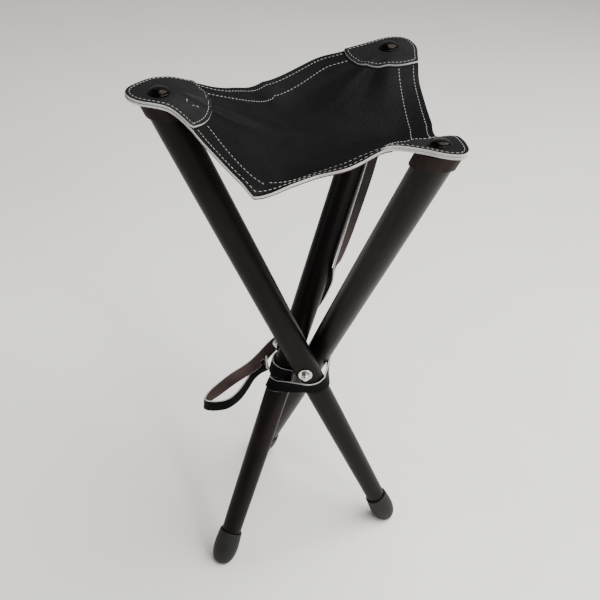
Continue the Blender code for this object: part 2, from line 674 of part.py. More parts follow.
def make_strap_fixings():
    """The nail that holds the strap's upper end to the rear leg, and the rivet at the ring."""
    strap = bpy.data.objects["carry_strap"]
    through = {
        "strap_nail": (0.0120, 1.0, ("leg_cap_rear", "leg_rear")),
        "ring_rivet": (0.0068, -1.0, ("ring_strap",)),
    }
    points, faces = smooth_route(STRAP_POINTS)
    step = (points[1] - points[0]).length
    inset = round(RIVET_INSET / step)
    for (name, (reach, turn, others)), index in zip(through.items(),
                                                    (inset, STRAP_POINTS - 1 - inset)):
        along = (points[index + 1] - points[index - 1]).normalized()
        out = (faces[index] - along * faces[index].dot(along)).normalized() * turn
        place = out.to_track_quat("Z", "Y").to_matrix().to_4x4()
        place.translation = HUB_PLACE + points[index] + out * (STRAP_LEATHER / 2.0 + 2.0 * GAP)
        pieces = (strap, *(bpy.data.objects[other] for other in others))
        rivet(name, reach, place, pieces)


def main():
    for old in list(bpy.data.objects):
        bpy.data.objects.remove(old)
    for name in (COLLECTION, CUTTERS):
        new_collection(name)
    hub = add_empty("hub_axis", hub_matrix())
    make_legs(hub)
    make_bolt(hub)
    corners = {name: Corner(name) for name in LEGS}
    leather = Leather(corners)
    seat = make_seat(corners, leather)
    make_edge_strips(corners, leather)
    for corner in corners.values():
        make_leg_cap(corner)
        patch = make_corner_patch(corner, leather)
        make_seat_stud(corner, (seat, patch))
    make_ring(hub)
    make_strap()
    make_strap_fixings()


main()
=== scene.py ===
"""Looks of the folding three-leg hunting stool: stained legs on a three-way bolt, a sling seat
of black leather with raw edges and white stitching, rubber feet and a leather carry strap.
Metres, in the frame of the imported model.
"""

import json
import math
import random

import bmesh
import bpy
import numpy as np
from mathutils import Matrix, Vector


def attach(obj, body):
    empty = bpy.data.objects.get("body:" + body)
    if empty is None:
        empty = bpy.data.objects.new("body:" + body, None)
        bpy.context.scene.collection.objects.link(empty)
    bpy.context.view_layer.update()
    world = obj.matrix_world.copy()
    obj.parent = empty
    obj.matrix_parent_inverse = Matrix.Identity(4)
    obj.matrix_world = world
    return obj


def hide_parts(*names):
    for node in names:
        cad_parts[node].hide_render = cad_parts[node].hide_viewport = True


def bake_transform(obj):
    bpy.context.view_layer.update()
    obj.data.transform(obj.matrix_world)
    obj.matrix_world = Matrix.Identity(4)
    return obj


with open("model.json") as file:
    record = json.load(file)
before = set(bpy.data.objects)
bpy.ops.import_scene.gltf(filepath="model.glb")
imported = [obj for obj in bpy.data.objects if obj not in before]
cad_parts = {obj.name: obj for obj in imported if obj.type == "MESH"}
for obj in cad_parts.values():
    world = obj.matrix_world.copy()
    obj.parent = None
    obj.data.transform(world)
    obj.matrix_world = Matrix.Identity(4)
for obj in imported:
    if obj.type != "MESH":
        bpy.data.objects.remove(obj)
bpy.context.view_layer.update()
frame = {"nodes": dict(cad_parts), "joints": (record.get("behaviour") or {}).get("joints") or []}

JOINTS = {joint["name"]: joint for joint in frame["joints"]}
CORNERS = ("left", "right", "rear")
UP = Vector((0.0, 0.0, 1.0))
FOLD_STOP = 3.5              # degrees short of parallel at which a leg's fold stops

# Legs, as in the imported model
HUB = Vector(JOINTS["leg_left_fold"]["pos_m"])
HUB_PLAN = HUB.xy
HUB_UP = Vector(JOINTS["seat_rise"]["axis"]).normalized()
LEG_OFFSET = 0.0216          # from the bolt's middle to a leg's own axis
LEG_UPPER = 0.3987           # from the bolt up to the leg's top
LEG_LOWER = 0.3151           # from the bolt down to the underside of the rubber foot
LEG_TOP_D, LEG_FOOT_D = 0.0380, 0.0244
LEG_SWELL = 0.0024           # how much fuller the leg is halfway than a straight taper
LEG_SPARE = 0.019            # wood past the leg's top, before it is cut to the seat's slope
FOOT_SOLE = 0.0075           # rubber under the end of the wood
FOOT_H = 0.0476

# Seat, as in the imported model. The leather's slope and roll at each leg's top, in degrees.
CORNER_SLOPE = {"left": -2.0, "right": 8.0, "rear": 13.0}
CORNER_ROLL = {"left": 5.0, "right": 0.0, "rear": 0.0}
CORNER_RISE = 0.0052         # from the leg's top to the leather's upper face
LEATHER, PATCH_LEATHER, HEM_LEATHER = 0.0026, 0.0028, 0.0014
LAYER_GAP = 0.0001           # between two layers of leather
# The seat's rim round each corner, from the edge before it to the edge after it: millimetres
# outwards and sideways from the leg's top, and up from it
RIM = {
    "left": ((-93, -75, -15), (-68, -61, -9), (-46, -55, -2.5), (-35, -48, 1.4), (-15, -44, 6.4),
             (5, -40, 6.4), (20, -27, 6.4), (31, -16, 5.4), (35, -4, 4.4), (31, 8, 3), (21, 17, 2),
             (7, 24, 2), (-6, 28, -0.6), (-17, 38, -5.6), (-26, 57, -9.6), (-31.5, 72, -13),
             (-40, 92, -18), (-54, 119, -27), (-66, 135, -36)),
    "right": ((-74, -121, -39), (-66, -95, -31), (-47, -77, -20), (-40, -61, -12), (-33, -50, -3),
              (-28, -42, 1.4), (-15, -32, 4.4), (2, -23, 6.4), (16, -18, 7.9), (27, -10, 8.4),
              (33, -2, 9.6), (29, 8, 10.4), (16, 17, 10.4), (-4, 28, 7.4), (-20, 38, 0.6),
              (-37, 46, -7), (-58, 60, -17), (-82, 77, -28)),
    "rear": ((-95, -93, -32), (-65, -73, -22), (-38, -56, -12), (-27, -50, -4.6), (-2, -39, 1.4),
             (19, -29, 5.4), (29, -18, 8.4), (34, -7, 9.4), (32, 5, 9), (22, 15.5, 8),
             (-1, 34, 2.6), (-20, 55, -4.6), (-41, 78, -12), (-80, 95, -22)),
}
# Where a fold lifts the leather inside the rim, given as for the rim
FOLDS = {"rear": ((-36, -16, -3),)}
# The round inner end of each corner's patch: its middle outwards and sideways, its radius
PATCH_END = {"left": (0.028, -0.006, 0.084), "right": (0.040, -0.005, 0.084),
             "rear": (0.010, 0.006, 0.055)}
PATCH_MIDDLE = -0.012        # where a patch's rows close in, outwards from the leg's top
PATCH_INSET = 0.0004         # from the seat's edge to the patch's
PATCH_ROWS = (0.0, 0.02, 0.06, 0.14, 0.26, 0.42, 0.60, 0.80, 1.0)
# The middle of each edge, from the bolt: bearing and reach in plan, and its height
EDGE_MIDDLES = {
    ("left", "right"): {"bearing": math.radians(-110.5), "reach": 0.1820, "height": 0.5920},
    ("right", "rear"): {"bearing": math.radians(11.5), "reach": 0.1220, "height": 0.6060},
    ("rear", "left"): {"bearing": math.radians(129.7), "reach": 0.1270, "height": 0.6120},
}
SEAT_MIDDLE_HEIGHT = 0.5840
# The sling's sag from each leg's top: share of the way out from the middle, share of the fall
SLING_SAG = ((0.66, 0.27), (0.33, 0.74))
# Creases that pull in from each corner: degrees from the inward line, half width, height
CREASES = {
    "left": ((-5.0, 4.5, 0.0036), (-13.0, 4.0, -0.0018), (-23.0, 5.0, 0.0022),
             (4.0, 5.0, -0.0022), (-36.0, 7.0, -0.0012), (20.0, 8.0, 0.0010)),
    "right": ((-14.0, 8.0, -0.0014), (4.0, 7.0, 0.0015), (24.0, 8.0, -0.0012)),
    "rear": ((-22.0, 9.0, 0.0020), (-4.0, 6.0, -0.0010), (14.0, 6.0, 0.0020),
             (30.0, 6.0, -0.0012)),
}
CREASE_START, CREASE_RISE = 0.024, 0.030     # inwards from the leg's top
CREASE_END, CREASE_FALL = 0.150, 0.070
# Inwards from an edge's middle: share of the way out, share of its height, and a little lower
EDGE_SAG = (0.66, 0.45, 0.003)
LEVEL_SPOTS = (0.0, 0.020, -0.018)   # outwards from a leg's top, where the leather lies flat
HEM_INSETS = (0.0006, 0.007, 0.014, 0.021, 0.027)
HEM_LAP = 0.014              # how far a hem strip runs in under a patch
SECTOR_COLUMNS, SEAT_ROWS, PATCH_COLUMNS = 145, 40, 144

# Stitching: two rows along each edge and one round each patch
STITCH_PITCH = 0.0050
STITCH_END = 0.17            # the bare part of the pitch at each end of a stitch
STITCH_ARCH, STITCH_DIP, STITCH_SWAY = 0.00028, 0.00012, 0.00018
STITCH_INSETS, PATCH_STITCH_INSET = (0.0060, 0.0235), 0.0040
STITCH_CLEAR = 0.0015        # between an edge's row and the patch
STITCH_SAMPLES = 481         # along a sector's outline, from which its edge rows are offset
THREAD_R = 0.00040
# Loose stitches on a patch: runs of spots outwards and sideways from the leg's top
STRAY_STITCHES = {"left": (((-0.028, 0.008), (-0.0265, 0.0155)),
                           ((-0.031, 0.018), (-0.0355, 0.0172), (-0.040, 0.0172)))}
draw = random.Random(11)     # for the stitches' sway

# Collars, seat screws, washers and nuts
COLLAR_H, COLLAR_LEATHER = 0.0142, 0.0022
SCREW_BASE = 0.0080          # from the leg's top to the screw head's underside
SCREW_R, SCREW_H, SCREW_DOME_R = 0.0122, 0.0058, 0.0104
WASHER_BORE_R, WASHER_R, WASHER_H = 0.0034, 0.0088, 0.0014
NUT_FLATS, NUT_H, NUT_DOME_R, NUT_DOME_H = 0.0050, 0.0048, 0.0046, 0.0034

# The leather ring, wound round the three legs below the bolt
RING_TOP, RING_HEIGHT, RING_LEATHER = 0.0105, 0.0150, 0.0024
RING_GAP = 0.0012            # between the ring and the legs
RING_SINK = 0.0162           # how much lower the ring starts than it ends
RING_CLIMB = (0.36, 0.7)     # share of the sink on meeting the left leg, and of its arc to climb
RING_STEPS, RING_START = 20, 12  # along each leg's arc, and where on the rear leg it starts
RING_PITCH = 0.0012
# The ring's end: share of the way from the rear leg to the left one, and how far inwards
RING_TUCK = ((0.10, 0.0006), (0.20, 0.0024), (0.32, 0.0046), (0.50, 0.0080))

# The carry strap, from under the rear collar down to its rivet on the ring: places from the
# bolt's middle, and where its flesh side faces
STRAP_WIDTH, STRAP_LEATHER = 0.0160, 0.0022
STRAP_POINTS = 260
STRAP_FIXING = 0.0075        # from either end of the strap to its nail or rivet
STRAP_ROUTE = (
    ((0.0886, 0.1459, 0.3510), (0.86, -0.50, 0.0)),
    ((0.0844, 0.1372, 0.3318), (0.82, -0.56, 0.0)),
    ((0.0751, 0.1221, 0.2959), (0.66, -0.75, 0.1)),
    ((0.0661, 0.1070, 0.2600), (0.62, -0.78, 0.1)),
    ((0.0582, 0.0920, 0.2227), (0.60, -0.80, 0.1)),
    ((0.0495, 0.0770, 0.1870), (0.62, -0.78, 0.0)),
    ((0.0403, 0.0620, 0.1508), (0.70, -0.70, -0.1)),
    ((0.0351, 0.0540, 0.1327), (0.80, -0.60, -0.1)),
    ((0.0298, 0.0480, 0.1150), (0.90, -0.40, 0.0)),
    ((0.0235, 0.0535, 0.0885), (0.88, 0.30, 0.3)),
    ((0.0107, 0.0640, 0.0485), (0.65, 0.35, 0.6)),
    ((-0.0072, 0.0610, 0.0176), (0.40, -0.20, 0.9)),
    ((-0.0257, 0.0500, -0.0017), (0.15, -0.70, 0.7)),
    ((-0.0443, 0.0360, -0.0145), (0.05, -0.95, 0.3)),
    ((-0.0682, 0.0260, -0.0425), (0.0, -0.96, 0.25)),
    ((-0.0960, 0.0200, -0.0655), (0.0, -0.97, 0.2)),
    ((-0.1170, 0.0150, -0.0855), (0.15, -0.97, 0.1)),
    ((-0.1290, 0.0070, -0.0945), (0.75, -0.65, 0.0)),
    ((-0.1310, -0.0035, -0.0935), (0.98, 0.20, 0.0)),
    ((-0.1240, -0.0110, -0.0905), (0.35, 0.93, 0.0)),
    ((-0.1122, -0.0125, -0.0883), (0.0, 1.0, 0.0)),
    ((-0.0990, -0.0090, -0.0860), (-0.3, 0.95, 0.0)),
    ((-0.0875, 0.0020, -0.0825), (-0.55, 0.83, 0.0)),
    ((-0.0785, 0.0140, -0.0749), (-0.6, 0.8, 0.1)),
    ((-0.0715, 0.0240, -0.0655), (-0.5, 0.8, 0.3)),
    ((-0.0645, 0.0300, -0.0560), (0.0, 0.9, 0.4)),
    ((-0.0565, 0.0270, -0.0450), (0.6, 0.7, 0.3)),
    ((-0.0500, 0.0180, -0.0330), (0.9, 0.4, 0.1)),
    ((-0.0506, 0.0085, -0.0225), (1.0, -0.10, 0.18)),
    ((-0.0498, 0.0000, -0.0170), (1.0, 0.0, 0.18)),
)

# Camera, floor and light
CAMERA_PLACE, CAMERA_LENS = (0.0276, -0.9497, 0.9762), 53.2
CAMERA_HEADING, CAMERA_DIP, CAMERA_ROLL = 0.55, 32.96, 4.82
FLOOR_HALF = 6.0
LEG_MIDDLE = (0.0, 0.0, 0.35)
# Place, target, size, watts and colour of each soft light
LIGHTS = {
    "window_left": ((-1.9, -0.5, 1.3), LEG_MIDDLE, (0.5, 0.7), 4.0, (1.0, 1.0, 1.0)),
    "window_right": ((1.25, -1.6, 1.45), LEG_MIDDLE, (0.4, 0.55), 20.0, (1.0, 1.0, 1.0)),
    "ceiling": ((1.3, 0.1, 2.9), (0.5, 0.0, 0.0), (3.0, 3.0), 240.0, (1.0, 0.985, 0.96)),
}
ROOM_LIGHT, ROOM_STRENGTH = (0.96, 0.95, 0.94, 1.0), 0.30


# ---------------------------------------------------------------- camera, floor and light

def make_camera():
    """Looks down on the stool from its front, a little rolled."""
    data = bpy.data.cameras.new("camera")
    data.lens = CAMERA_LENS
    camera = bpy.data.objects.new("camera", data)
    bpy.context.scene.collection.objects.link(camera)
    camera.matrix_world = (Matrix.Translation(CAMERA_PLACE)
                           @ Matrix.Rotation(math.radians(CAMERA_HEADING), 4, "Z")
                           @ Matrix.Rotation(math.radians(90.0 - CAMERA_DIP), 4, "X")
                           @ Matrix.Rotation(math.radians(CAMERA_ROLL), 4, "Z"))
    bpy.context.scene.camera = camera


def make_floor():
    mesh = bpy.data.meshes.new("floor")
    work = bmesh.new()
    bmesh.ops.create_grid(work, x_segments=1, y_segments=1, size=FLOOR_HALF)
    work.to_mesh(mesh)
    work.free()
    floor = bpy.data.objects.new("floor", mesh)
    bpy.context.scene.collection.objects.link(floor)
    paint = Finish("floor_paint", roughness=0.55)
    cloud = paint.ramp(paint.noise(paint.place("Object"), 1.5), 0.35, 0.65)
    paint.colour(paint.mix(cloud, (0.80, 0.79, 0.77), (0.84, 0.83, 0.81)))
    mesh.materials.append(paint.material)


def make_light(name, place, target, size, power, colour):
    data = bpy.data.lights.new(name, "AREA")
    data.shape = "RECTANGLE"
    data.size, data.size_y = size
    data.energy = power
    data.color = colour
    light = bpy.data.objects.new(name, data)
    bpy.context.scene.collection.objects.link(light)
    aim = (Vector(target) - Vector(place)).to_track_quat("-Z", "Y")
    light.matrix_world = Matrix.Translation(place) @ aim.to_matrix().to_4x4()


def make_studio():
    make_floor()
    for name, settings in LIGHTS.items():
        make_light(name, *settings)
    world = bpy.data.worlds.new("room")
    world.use_nodes = True
    background = world.node_tree.nodes["Background"]
    background.inputs["Color"].default_value = ROOM_LIGHT
    background.inputs["Strength"].default_value = ROOM_STRENGTH
    bpy.context.scene.world = world


# ---------------------------------------------------------------- materials

class Finish:
    """A material built up from procedural nodes round one Principled shader."""

    def __init__(self, name, roughness=0.5, metallic=0.0, specular=0.5, coat=0.0):
        self.material = bpy.data.materials.new(name)
        self.material.use_nodes = True
        self.tree = self.material.node_tree
        self.shader = self.tree.nodes["Principled BSDF"]
        self.shader.inputs["Roughness"].default_value = roughness
        self.shader.inputs["Metallic"].default_value = metallic
        self.shader.inputs["Specular IOR Level"].default_value = specular
        self.shader.inputs["Coat Weight"].default_value = coat
        self.normal = None

    def feed(self, socket, value):
        """Links a node's output to a socket, or sets a plain value on it."""
        if isinstance(value, bpy.types.NodeSocket):
            self.tree.links.new(value, socket)
        else:
            socket.default_value = (*value, 1.0) if socket.type == "RGBA" else value

    def node(self, kind, settings=None, **inputs):
        made = self.tree.nodes.new("ShaderNode" + kind)
        for key, value in (settings or {}).items():
            setattr(made, key, value)
        for key, value in inputs.items():
            self.feed(made.inputs[key], value)
        return made

    def place(self, source, scale=(1.0, 1.0, 1.0)):
        """Texture coordinates in metres, from UV or Object, stretched by scale."""
        origin = self.node("TexCoord").outputs[source]
        return self.node("Mapping", Vector=origin, Scale=scale).outputs["Vector"]

    def noise(self, where, scale, detail=3.0, rough=0.55):
        return self.node("TexNoise", Vector=where, Scale=scale, Detail=detail,
                         Roughness=rough).outputs["Fac"]

    def ramp(self, value, low, high, to_low=0.0, to_high=1.0):
        made = self.node("MapRange", Value=value)
        for key, number in (("From Min", low), ("From Max", high), ("To Min", to_low),
                            ("To Max", to_high)):
            made.inputs[key].default_value = number
        return made.outputs["Result"]

    def mix(self, share, first, second):
        made = self.node("Mix", {"data_type": "RGBA"})
        for index, value in ((0, share), (6, first), (7, second)):
            self.feed(made.inputs[index], value)
        return made.outputs[2]

    def colour(self, value):
        self.tree.links.new(value, self.shader.inputs["Base Color"])

    def rough(self, value):
        self.tree.links.new(value, self.shader.inputs["Roughness"])

    def bump(self, height, distance, strength=1.0):
        """Adds a bump of a distance in metres to those already there."""
        made = self.node("Bump", Height=height, Distance=distance, Strength=strength)
        if self.normal is not None:
            self.tree.links.new(self.normal, made.inputs["Normal"])
        self.normal = made.outputs["Normal"]
        self.tree.links.new(self.normal, self.shader.inputs["Normal"])


def toned(colour, tone):
    """A colour made lighter or darker."""
    return tuple(tone * value for value in colour)


def stained_wood():
    """Near-black stain on fine straight grain, its coordinates running along the leg."""
    wood = Finish("stained_wood", specular=0.10, coat=0.02)
    wood.shader.inputs["Coat Roughness"].default_value = 0.22
    grain = wood.noise(wood.place("Object", (1.0, 1.0, 0.045)), 900.0, 4.0)
    figure = wood.noise(wood.place("Object", (1.0, 1.0, 0.10)), 110.0, 5.0)
    dark = wood.mix(wood.ramp(figure, 0.35, 0.70), (0.0024, 0.0020, 0.0018),
                    (0.0062, 0.0046, 0.0040))
    patches = wood.noise(wood.place("Object", (1.0, 1.0, 0.35)), 26.0, 4.0)
    worn = wood.ramp(patches, 0.58, 0.80, 0.0, 0.55)
    wood.colour(wood.mix(worn, dark, (0.0200, 0.0090, 0.0070)))
    cloud = wood.noise(wood.place("Object", (1.0, 1.0, 0.4)), 40.0, 3.0)
    wood.rough(wood.ramp(cloud, 0.25, 0.75, 0.34, 0.46))
    wood.bump(grain, 0.00012)
    wood.bump(figure, 0.00020, 0.6)
    return wood.material


def black_leather(name, specular=0.03, tone=0.72):
    """Black pebble-grained hide with a soft sheen, partly painted in as lighter pebble tops, its
    grain in metres of the plan.
    """
    hide = Finish(name, specular=specular)
    where = hide.place("UV")
    pebbles = hide.node("TexVoronoi", {"feature": "SMOOTH_F1"}, Vector=where, Scale=620.0)
    cell = hide.ramp(pebbles.outputs["Distance"], 0.15, 0.75, 1.0, 0.0)
    # Painted highlight: each pebble's raised middle is coloured lighter, as if catching the light.
    painted_pebble_sheen = hide.ramp(pebbles.outputs["Distance"], 0.15, 0.75, 0.35, 0.0)
    creases = hide.node("TexVoronoi", {"feature": "DISTANCE_TO_EDGE"}, Vector=where,
                        Scale=170.0)
    crease = hide.ramp(creases.outputs["Distance"], 0.0, 0.10)
    pores = hide.noise(where, 2100.0, 2.0)
    shade = hide.mix(hide.ramp(hide.noise(where, 26.0, 4.0), 0.3, 0.7),
                     toned((0.0034, 0.0034, 0.0036), tone), toned((0.0064, 0.0064, 0.0066), tone))
    hide.colour(hide.mix(painted_pebble_sheen, shade, toned((0.0115, 0.0115, 0.0118), tone)))
    hide.rough(hide.ramp(hide.noise(where, 55.0, 3.0), 0.3, 0.7, 0.42, 0.54))
    hide.bump(cell, 0.00016)
    hide.bump(crease, 0.00010, 0.7)
    hide.bump(pores, 0.00004)
    return hide.material


def raw_edge(name="raw_edge", tone=1.0):
    """The pale fibres of leather's cut edge."""
    edge = Finish(name, roughness=0.85, specular=0.25)
    where = edge.place("Object")
    fibres = edge.noise(where, 1400.0, 3.0)
    stain = edge.noise(where, 60.0, 3.0)
    pale = edge.mix(edge.ramp(fibres, 0.3, 0.7), toned((0.42, 0.41, 0.39), tone),
                    toned((0.62, 0.61, 0.59), tone))
    edge.colour(edge.mix(edge.ramp(stain, 0.62, 0.82), pale, (0.30, 0.22, 0.19)))
    edge.bump(fibres, 0.00012)
    return edge.material


def flesh_side(name, first, second, rough=0.80):
    """The napped inner side of the hide."""
    flesh = Finish(name, roughness=rough, specular=0.12)
    where = flesh.place("Object")
    fibres = flesh.noise(flesh.place("Object", (1.0, 1.0, 1.6)), 900.0, 4.0, 0.7)
    blotch = flesh.noise(where, 38.0, 4.0)
    base = flesh.mix(flesh.ramp(blotch, 0.3, 0.7), first, second)
    flesh.colour(flesh.mix(flesh.ramp(fibres, 0.50, 0.80), base, toned(second, 1.35)))
    flesh.bump(fibres, 0.00018)
    return flesh.material


def strap_flesh():
    """The strap's inner side: blackened where it lies along the leg, brown round the loop."""
    flesh = Finish("strap_flesh", roughness=0.7, specular=0.12)
    along = flesh.node("SeparateXYZ", Vector=flesh.place("UV")).outputs["X"]
    fibres = flesh.noise(flesh.place("UV", (0.6, 1.0, 1.0)), 900.0, 4.0, 0.7)
    blotch = flesh.ramp(flesh.noise(flesh.place("UV"), 38.0, 4.0), 0.3, 0.7)
    dark = flesh.mix(blotch, (0.0065, 0.0055, 0.0052), (0.0150, 0.0105, 0.0092))
    brown = flesh.mix(blotch, (0.050, 0.034, 0.031), (0.092, 0.064, 0.059))
    flesh.colour(flesh.mix(flesh.ramp(along, 0.16, 0.40), dark, brown))
    flesh.bump(fibres, 0.00018)
    return flesh.material


def mottled(name, tint, gloss, grain, **shader):
    """A plain finish whose colour, roughness and fine grain each follow a noise. Tint is its
    scale, detail, low, high and two colours, gloss its scale, detail and two roughnesses, and
    grain its scale, detail and depth."""
    plain = Finish(name, **shader)
    where = plain.place("Object")
    scale, detail, low, high, first, second = tint
    blotch = plain.ramp(plain.noise(where, scale, detail), low, high)
    plain.colour(plain.mix(blotch, first, second))
    scale, detail, smooth, dull = gloss
    plain.rough(plain.ramp(plain.noise(where, scale, detail), 0.3, 0.7, smooth, dull))
    scale, detail, depth = grain
    plain.bump(plain.noise(where, scale, detail), depth)
    return plain.material


def moulded_rubber():
    dust = (45.0, 4.0, 0.35, 0.75, (0.0060, 0.0060, 0.0062), (0.0150, 0.0148, 0.0145))
    return mottled("moulded_rubber", dust, (45.0, 4.0, 0.50, 0.64), (1500.0, 2.0, 0.00006),
                   specular=0.25)


def bright_steel():
    tarnish = (190.0, 4.0, 0.4, 0.75, (0.72, 0.71, 0.68), (0.45, 0.42, 0.37))
    return mottled("bright_steel", tarnish, (420.0, 3.0, 0.16, 0.34), (900.0, 2.0, 0.00003),
                   metallic=1.0)


def dark_bronze():
    patina = (240.0, 4.0, 0.35, 0.7, (0.0050, 0.0043, 0.0038), (0.0140, 0.0112, 0.0095))
    return mottled("dark_bronze", patina, (500.0, 3.0, 0.16, 0.28), (240.0, 4.0, 0.00005),
                   metallic=1.0)


def waxed_thread():
    soil = (300.0, 2.0, 0.3, 0.7, (0.20, 0.20, 0.20), (0.35, 0.35, 0.34))
    return mottled("waxed_thread", soil, (300.0, 2.0, 0.6, 0.6), (3500.0, 1.0, 0.00006),
                   specular=0.35)


# ---------------------------------------------------------------- making pieces

def add_piece(name, mesh, materials, place=None):
    piece = bpy.data.objects.new(name, mesh)
    bpy.context.scene.collection.objects.link(piece)
    for material in materials:
        mesh.materials.append(material)
    if place is not None:
        piece.matrix_world = place
    return piece


def mesh_of(work, name, sharp=40.0):
    """The bmesh as a smooth-shaded mesh that keeps its corners sharp."""
    bmesh.ops.recalc_face_normals(work, faces=work.faces)
    mesh = bpy.data.meshes.new(name)
    work.to_mesh(mesh)
    work.free()
    mesh.shade_smooth()
    mesh.set_sharp_from_angle(angle=math.radians(sharp))
    return mesh


def skin(work, rings):
    """Faces round each two rings of vertices in turn. A ring of one vertex closes to a point."""
    sides = max(len(ring) for ring in rings)
    for upper, lower in zip(rings, rings[1:]):
        for i in range(sides):
            j = (i + 1) % sides
            corners = [upper[i % len(upper)], upper[j % len(upper)], lower[j % len(lower)],
                       lower[i % len(lower)]]
            work.faces.new(list(dict.fromkeys(corners)))


def turned(sides):
    """The angles round a full turn."""
    return [2.0 * math.pi * step / sides for step in range(sides)]


def circle(work, radius, height, sides):
    """A level ring of vertices about local Z, or a single one on the axis."""
    return [work.verts.new((radius * math.cos(angle), radius * math.sin(angle), height))
            for angle in (turned(sides) if radius > 0.0 else [0.0])]


def spin(profile, sides):
    """A bmesh turned about local Z from (radius, height) points."""
    work = bmesh.new()
    skin(work, [circle(work, *spot, sides) for spot in profile])
    return work


def dome(radius, base, rise, steps):
    """The (radius, height) points of a dome, from its rim up to its top on the axis."""
    angles = [math.radians(90.0 * step / steps) for step in range(steps)]
    points = [(radius * math.cos(angle), base + rise * math.sin(angle)) for angle in angles]
    return [*points, (0.0, base + rise)]


def rounded(points, radius, steps=4):
    """A profile's points with each inner corner rounded to about the given radius."""
    made = [points[0]]
    for before, corner, after in zip(points, points[1:], points[2:]):
        spot = Vector(corner)
        to, on = Vector(before) - spot, Vector(after) - spot
        reach = min(radius, to.length / 2.1, on.length / 2.1)
        first, last = spot + to.normalized() * reach, spot + on.normalized() * reach
        for step in range(steps + 1):
            share = step / steps
            made.append(tuple(first.lerp(spot, share).lerp(spot.lerp(last, share), share)))
    made.append(points[-1])
    return made


def slice_off(work, point, normal):
    """Cuts away what lies past a plane and closes the cut."""
    cut = bmesh.ops.bisect_plane(work, geom=work.verts[:] + work.edges[:] + work.faces[:],
                                 plane_co=point, plane_no=normal, clear_outer=True)
    rim = [item for item in cut["geom_cut"] if isinstance(item, bmesh.types.BMEdge)]
    bmesh.ops.edgeloop_fill(work, edges=rim)


# ---------------------------------------------------------------- legs, feet and the bolt

class Leg:
    """A leg's place in the frame: X along its stud, Z up the leg."""

    def __init__(self, name):
        joint = JOINTS["leg_{}_fold".format(name)]
        tilt = math.radians(joint["range_deg"][1] + FOLD_STOP)
        self.name = name
        self.stud = -Vector(joint["axis"]).normalized()
        self.up = math.cos(tilt) * HUB_UP + math.sin(tilt) * self.stud.cross(HUB_UP)
        self.middle = HUB + LEG_OFFSET * self.stud
        axes = Matrix((self.stud, self.up.cross(self.stud), self.up)).transposed()
        self.frame = Matrix.Translation(self.middle) @ axes.to_4x4()
        self.stud_frame = (Matrix.Translation(HUB) @ axes.to_4x4()
                           @ Matrix.Rotation(math.pi / 2.0, 4, "Y"))

    def into(self, point):
        return self.frame.inverted() @ Vector(point)

    def turn_into(self, direction):
        return self.frame.to_3x3().inverted() @ Vector(direction)


def leg_radius(height):
    """The wood's radius at a height from the bolt, up the leg."""
    share = (height + LEG_LOWER) / (LEG_UPPER + LEG_LOWER)
    swell = LEG_SWELL * 4.0 * share * (1.0 - share)
    return (LEG_FOOT_D + (LEG_TOP_D - LEG_FOOT_D) * share + swell) / 2.0


def make_leg(leg, corner, wood):
    """The turned leg, its top cut to the slope of the leather that it carries."""
    bottom = -LEG_LOWER + FOOT_SOLE
    heights = list(np.arange(bottom + 0.003, LEG_UPPER + LEG_SPARE, 0.009))
    profile = [(0.0, bottom), (leg_radius(bottom) - 0.0020, bottom),
               (leg_radius(bottom) - 0.0006, bottom + 0.0010)]
    profile += [(leg_radius(height), height) for height in heights]
    profile.append((0.0, heights[-1]))
    work = spin(profile, 72)
    slice_off(work, leg.into(corner.top), leg.turn_into(corner.normal))
    piece = add_piece("wooden_leg_" + leg.name, mesh_of(work, "leg"), [wood],
                      leg.frame)
    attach(piece, "leg_" + leg.name)
    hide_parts("leg_" + leg.name)


def make_foot(leg, rubber):
    """A rubber ferrule: fullest below its middle, with a worn flat sole."""
    low = -LEG_LOWER
    bore_low = leg_radius(low + FOOT_SOLE) + 0.0003
    bore_high = leg_radius(low + FOOT_H) + 0.0003
    outside = [(0.0, low - 0.0022), (0.0055, low - 0.0016), (0.0096, low + 0.0006),
               (0.0128, low + 0.0048), (0.0151, low + 0.0110), (0.0165, low + 0.0190),
               (0.0167, low + 0.0270), (0.0163, low + 0.0350), (0.0156, low + 0.0430),
               (0.0154, low + 0.0466), (0.0148, low + FOOT_H), (bore_high + 0.0003, low + FOOT_H),
               (bore_high, low + FOOT_H - 0.0006)]
    profile = rounded(outside, 0.004) + [(bore_low, low + FOOT_SOLE - 0.0003),
                                         (0.0, low + FOOT_SOLE - 0.0003)]
    work = spin(profile, 72)
    slice_off(work, leg.into((0.0, 0.0, 0.0)), leg.turn_into(-UP))
    piece = add_piece("rubber_foot_" + leg.name, mesh_of(work, "foot"), [rubber],
                      leg.frame)
    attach(piece, "leg_" + leg.name)
    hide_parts("foot_" + leg.name)


def make_stud_hardware(leg, steel):
    """The washer and the domed nut outside a leg, along the stud."""
    base = LEG_OFFSET + leg_radius(0.0) + 0.0004
    ring = [(WASHER_BORE_R, base), (WASHER_R, base), (WASHER_R, base + WASHER_H),
            (WASHER_BORE_R, base + WASHER_H)]
    washer = spin(rounded([*ring, ring[0]], 0.0004, 3), 64)
    bmesh.ops.remove_doubles(washer, verts=washer.verts, dist=0.00002)
    pieces = [add_piece("plain_washer_" + leg.name, mesh_of(washer, "washer"), [steel],
                        leg.stud_frame)]
    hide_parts("washer_" + leg.name)
    pieces.append(make_nut(leg, base + WASHER_H + 0.0004, steel))
    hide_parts("cap_nut_" + leg.name)
    for piece in pieces:
        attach(piece, "hub")


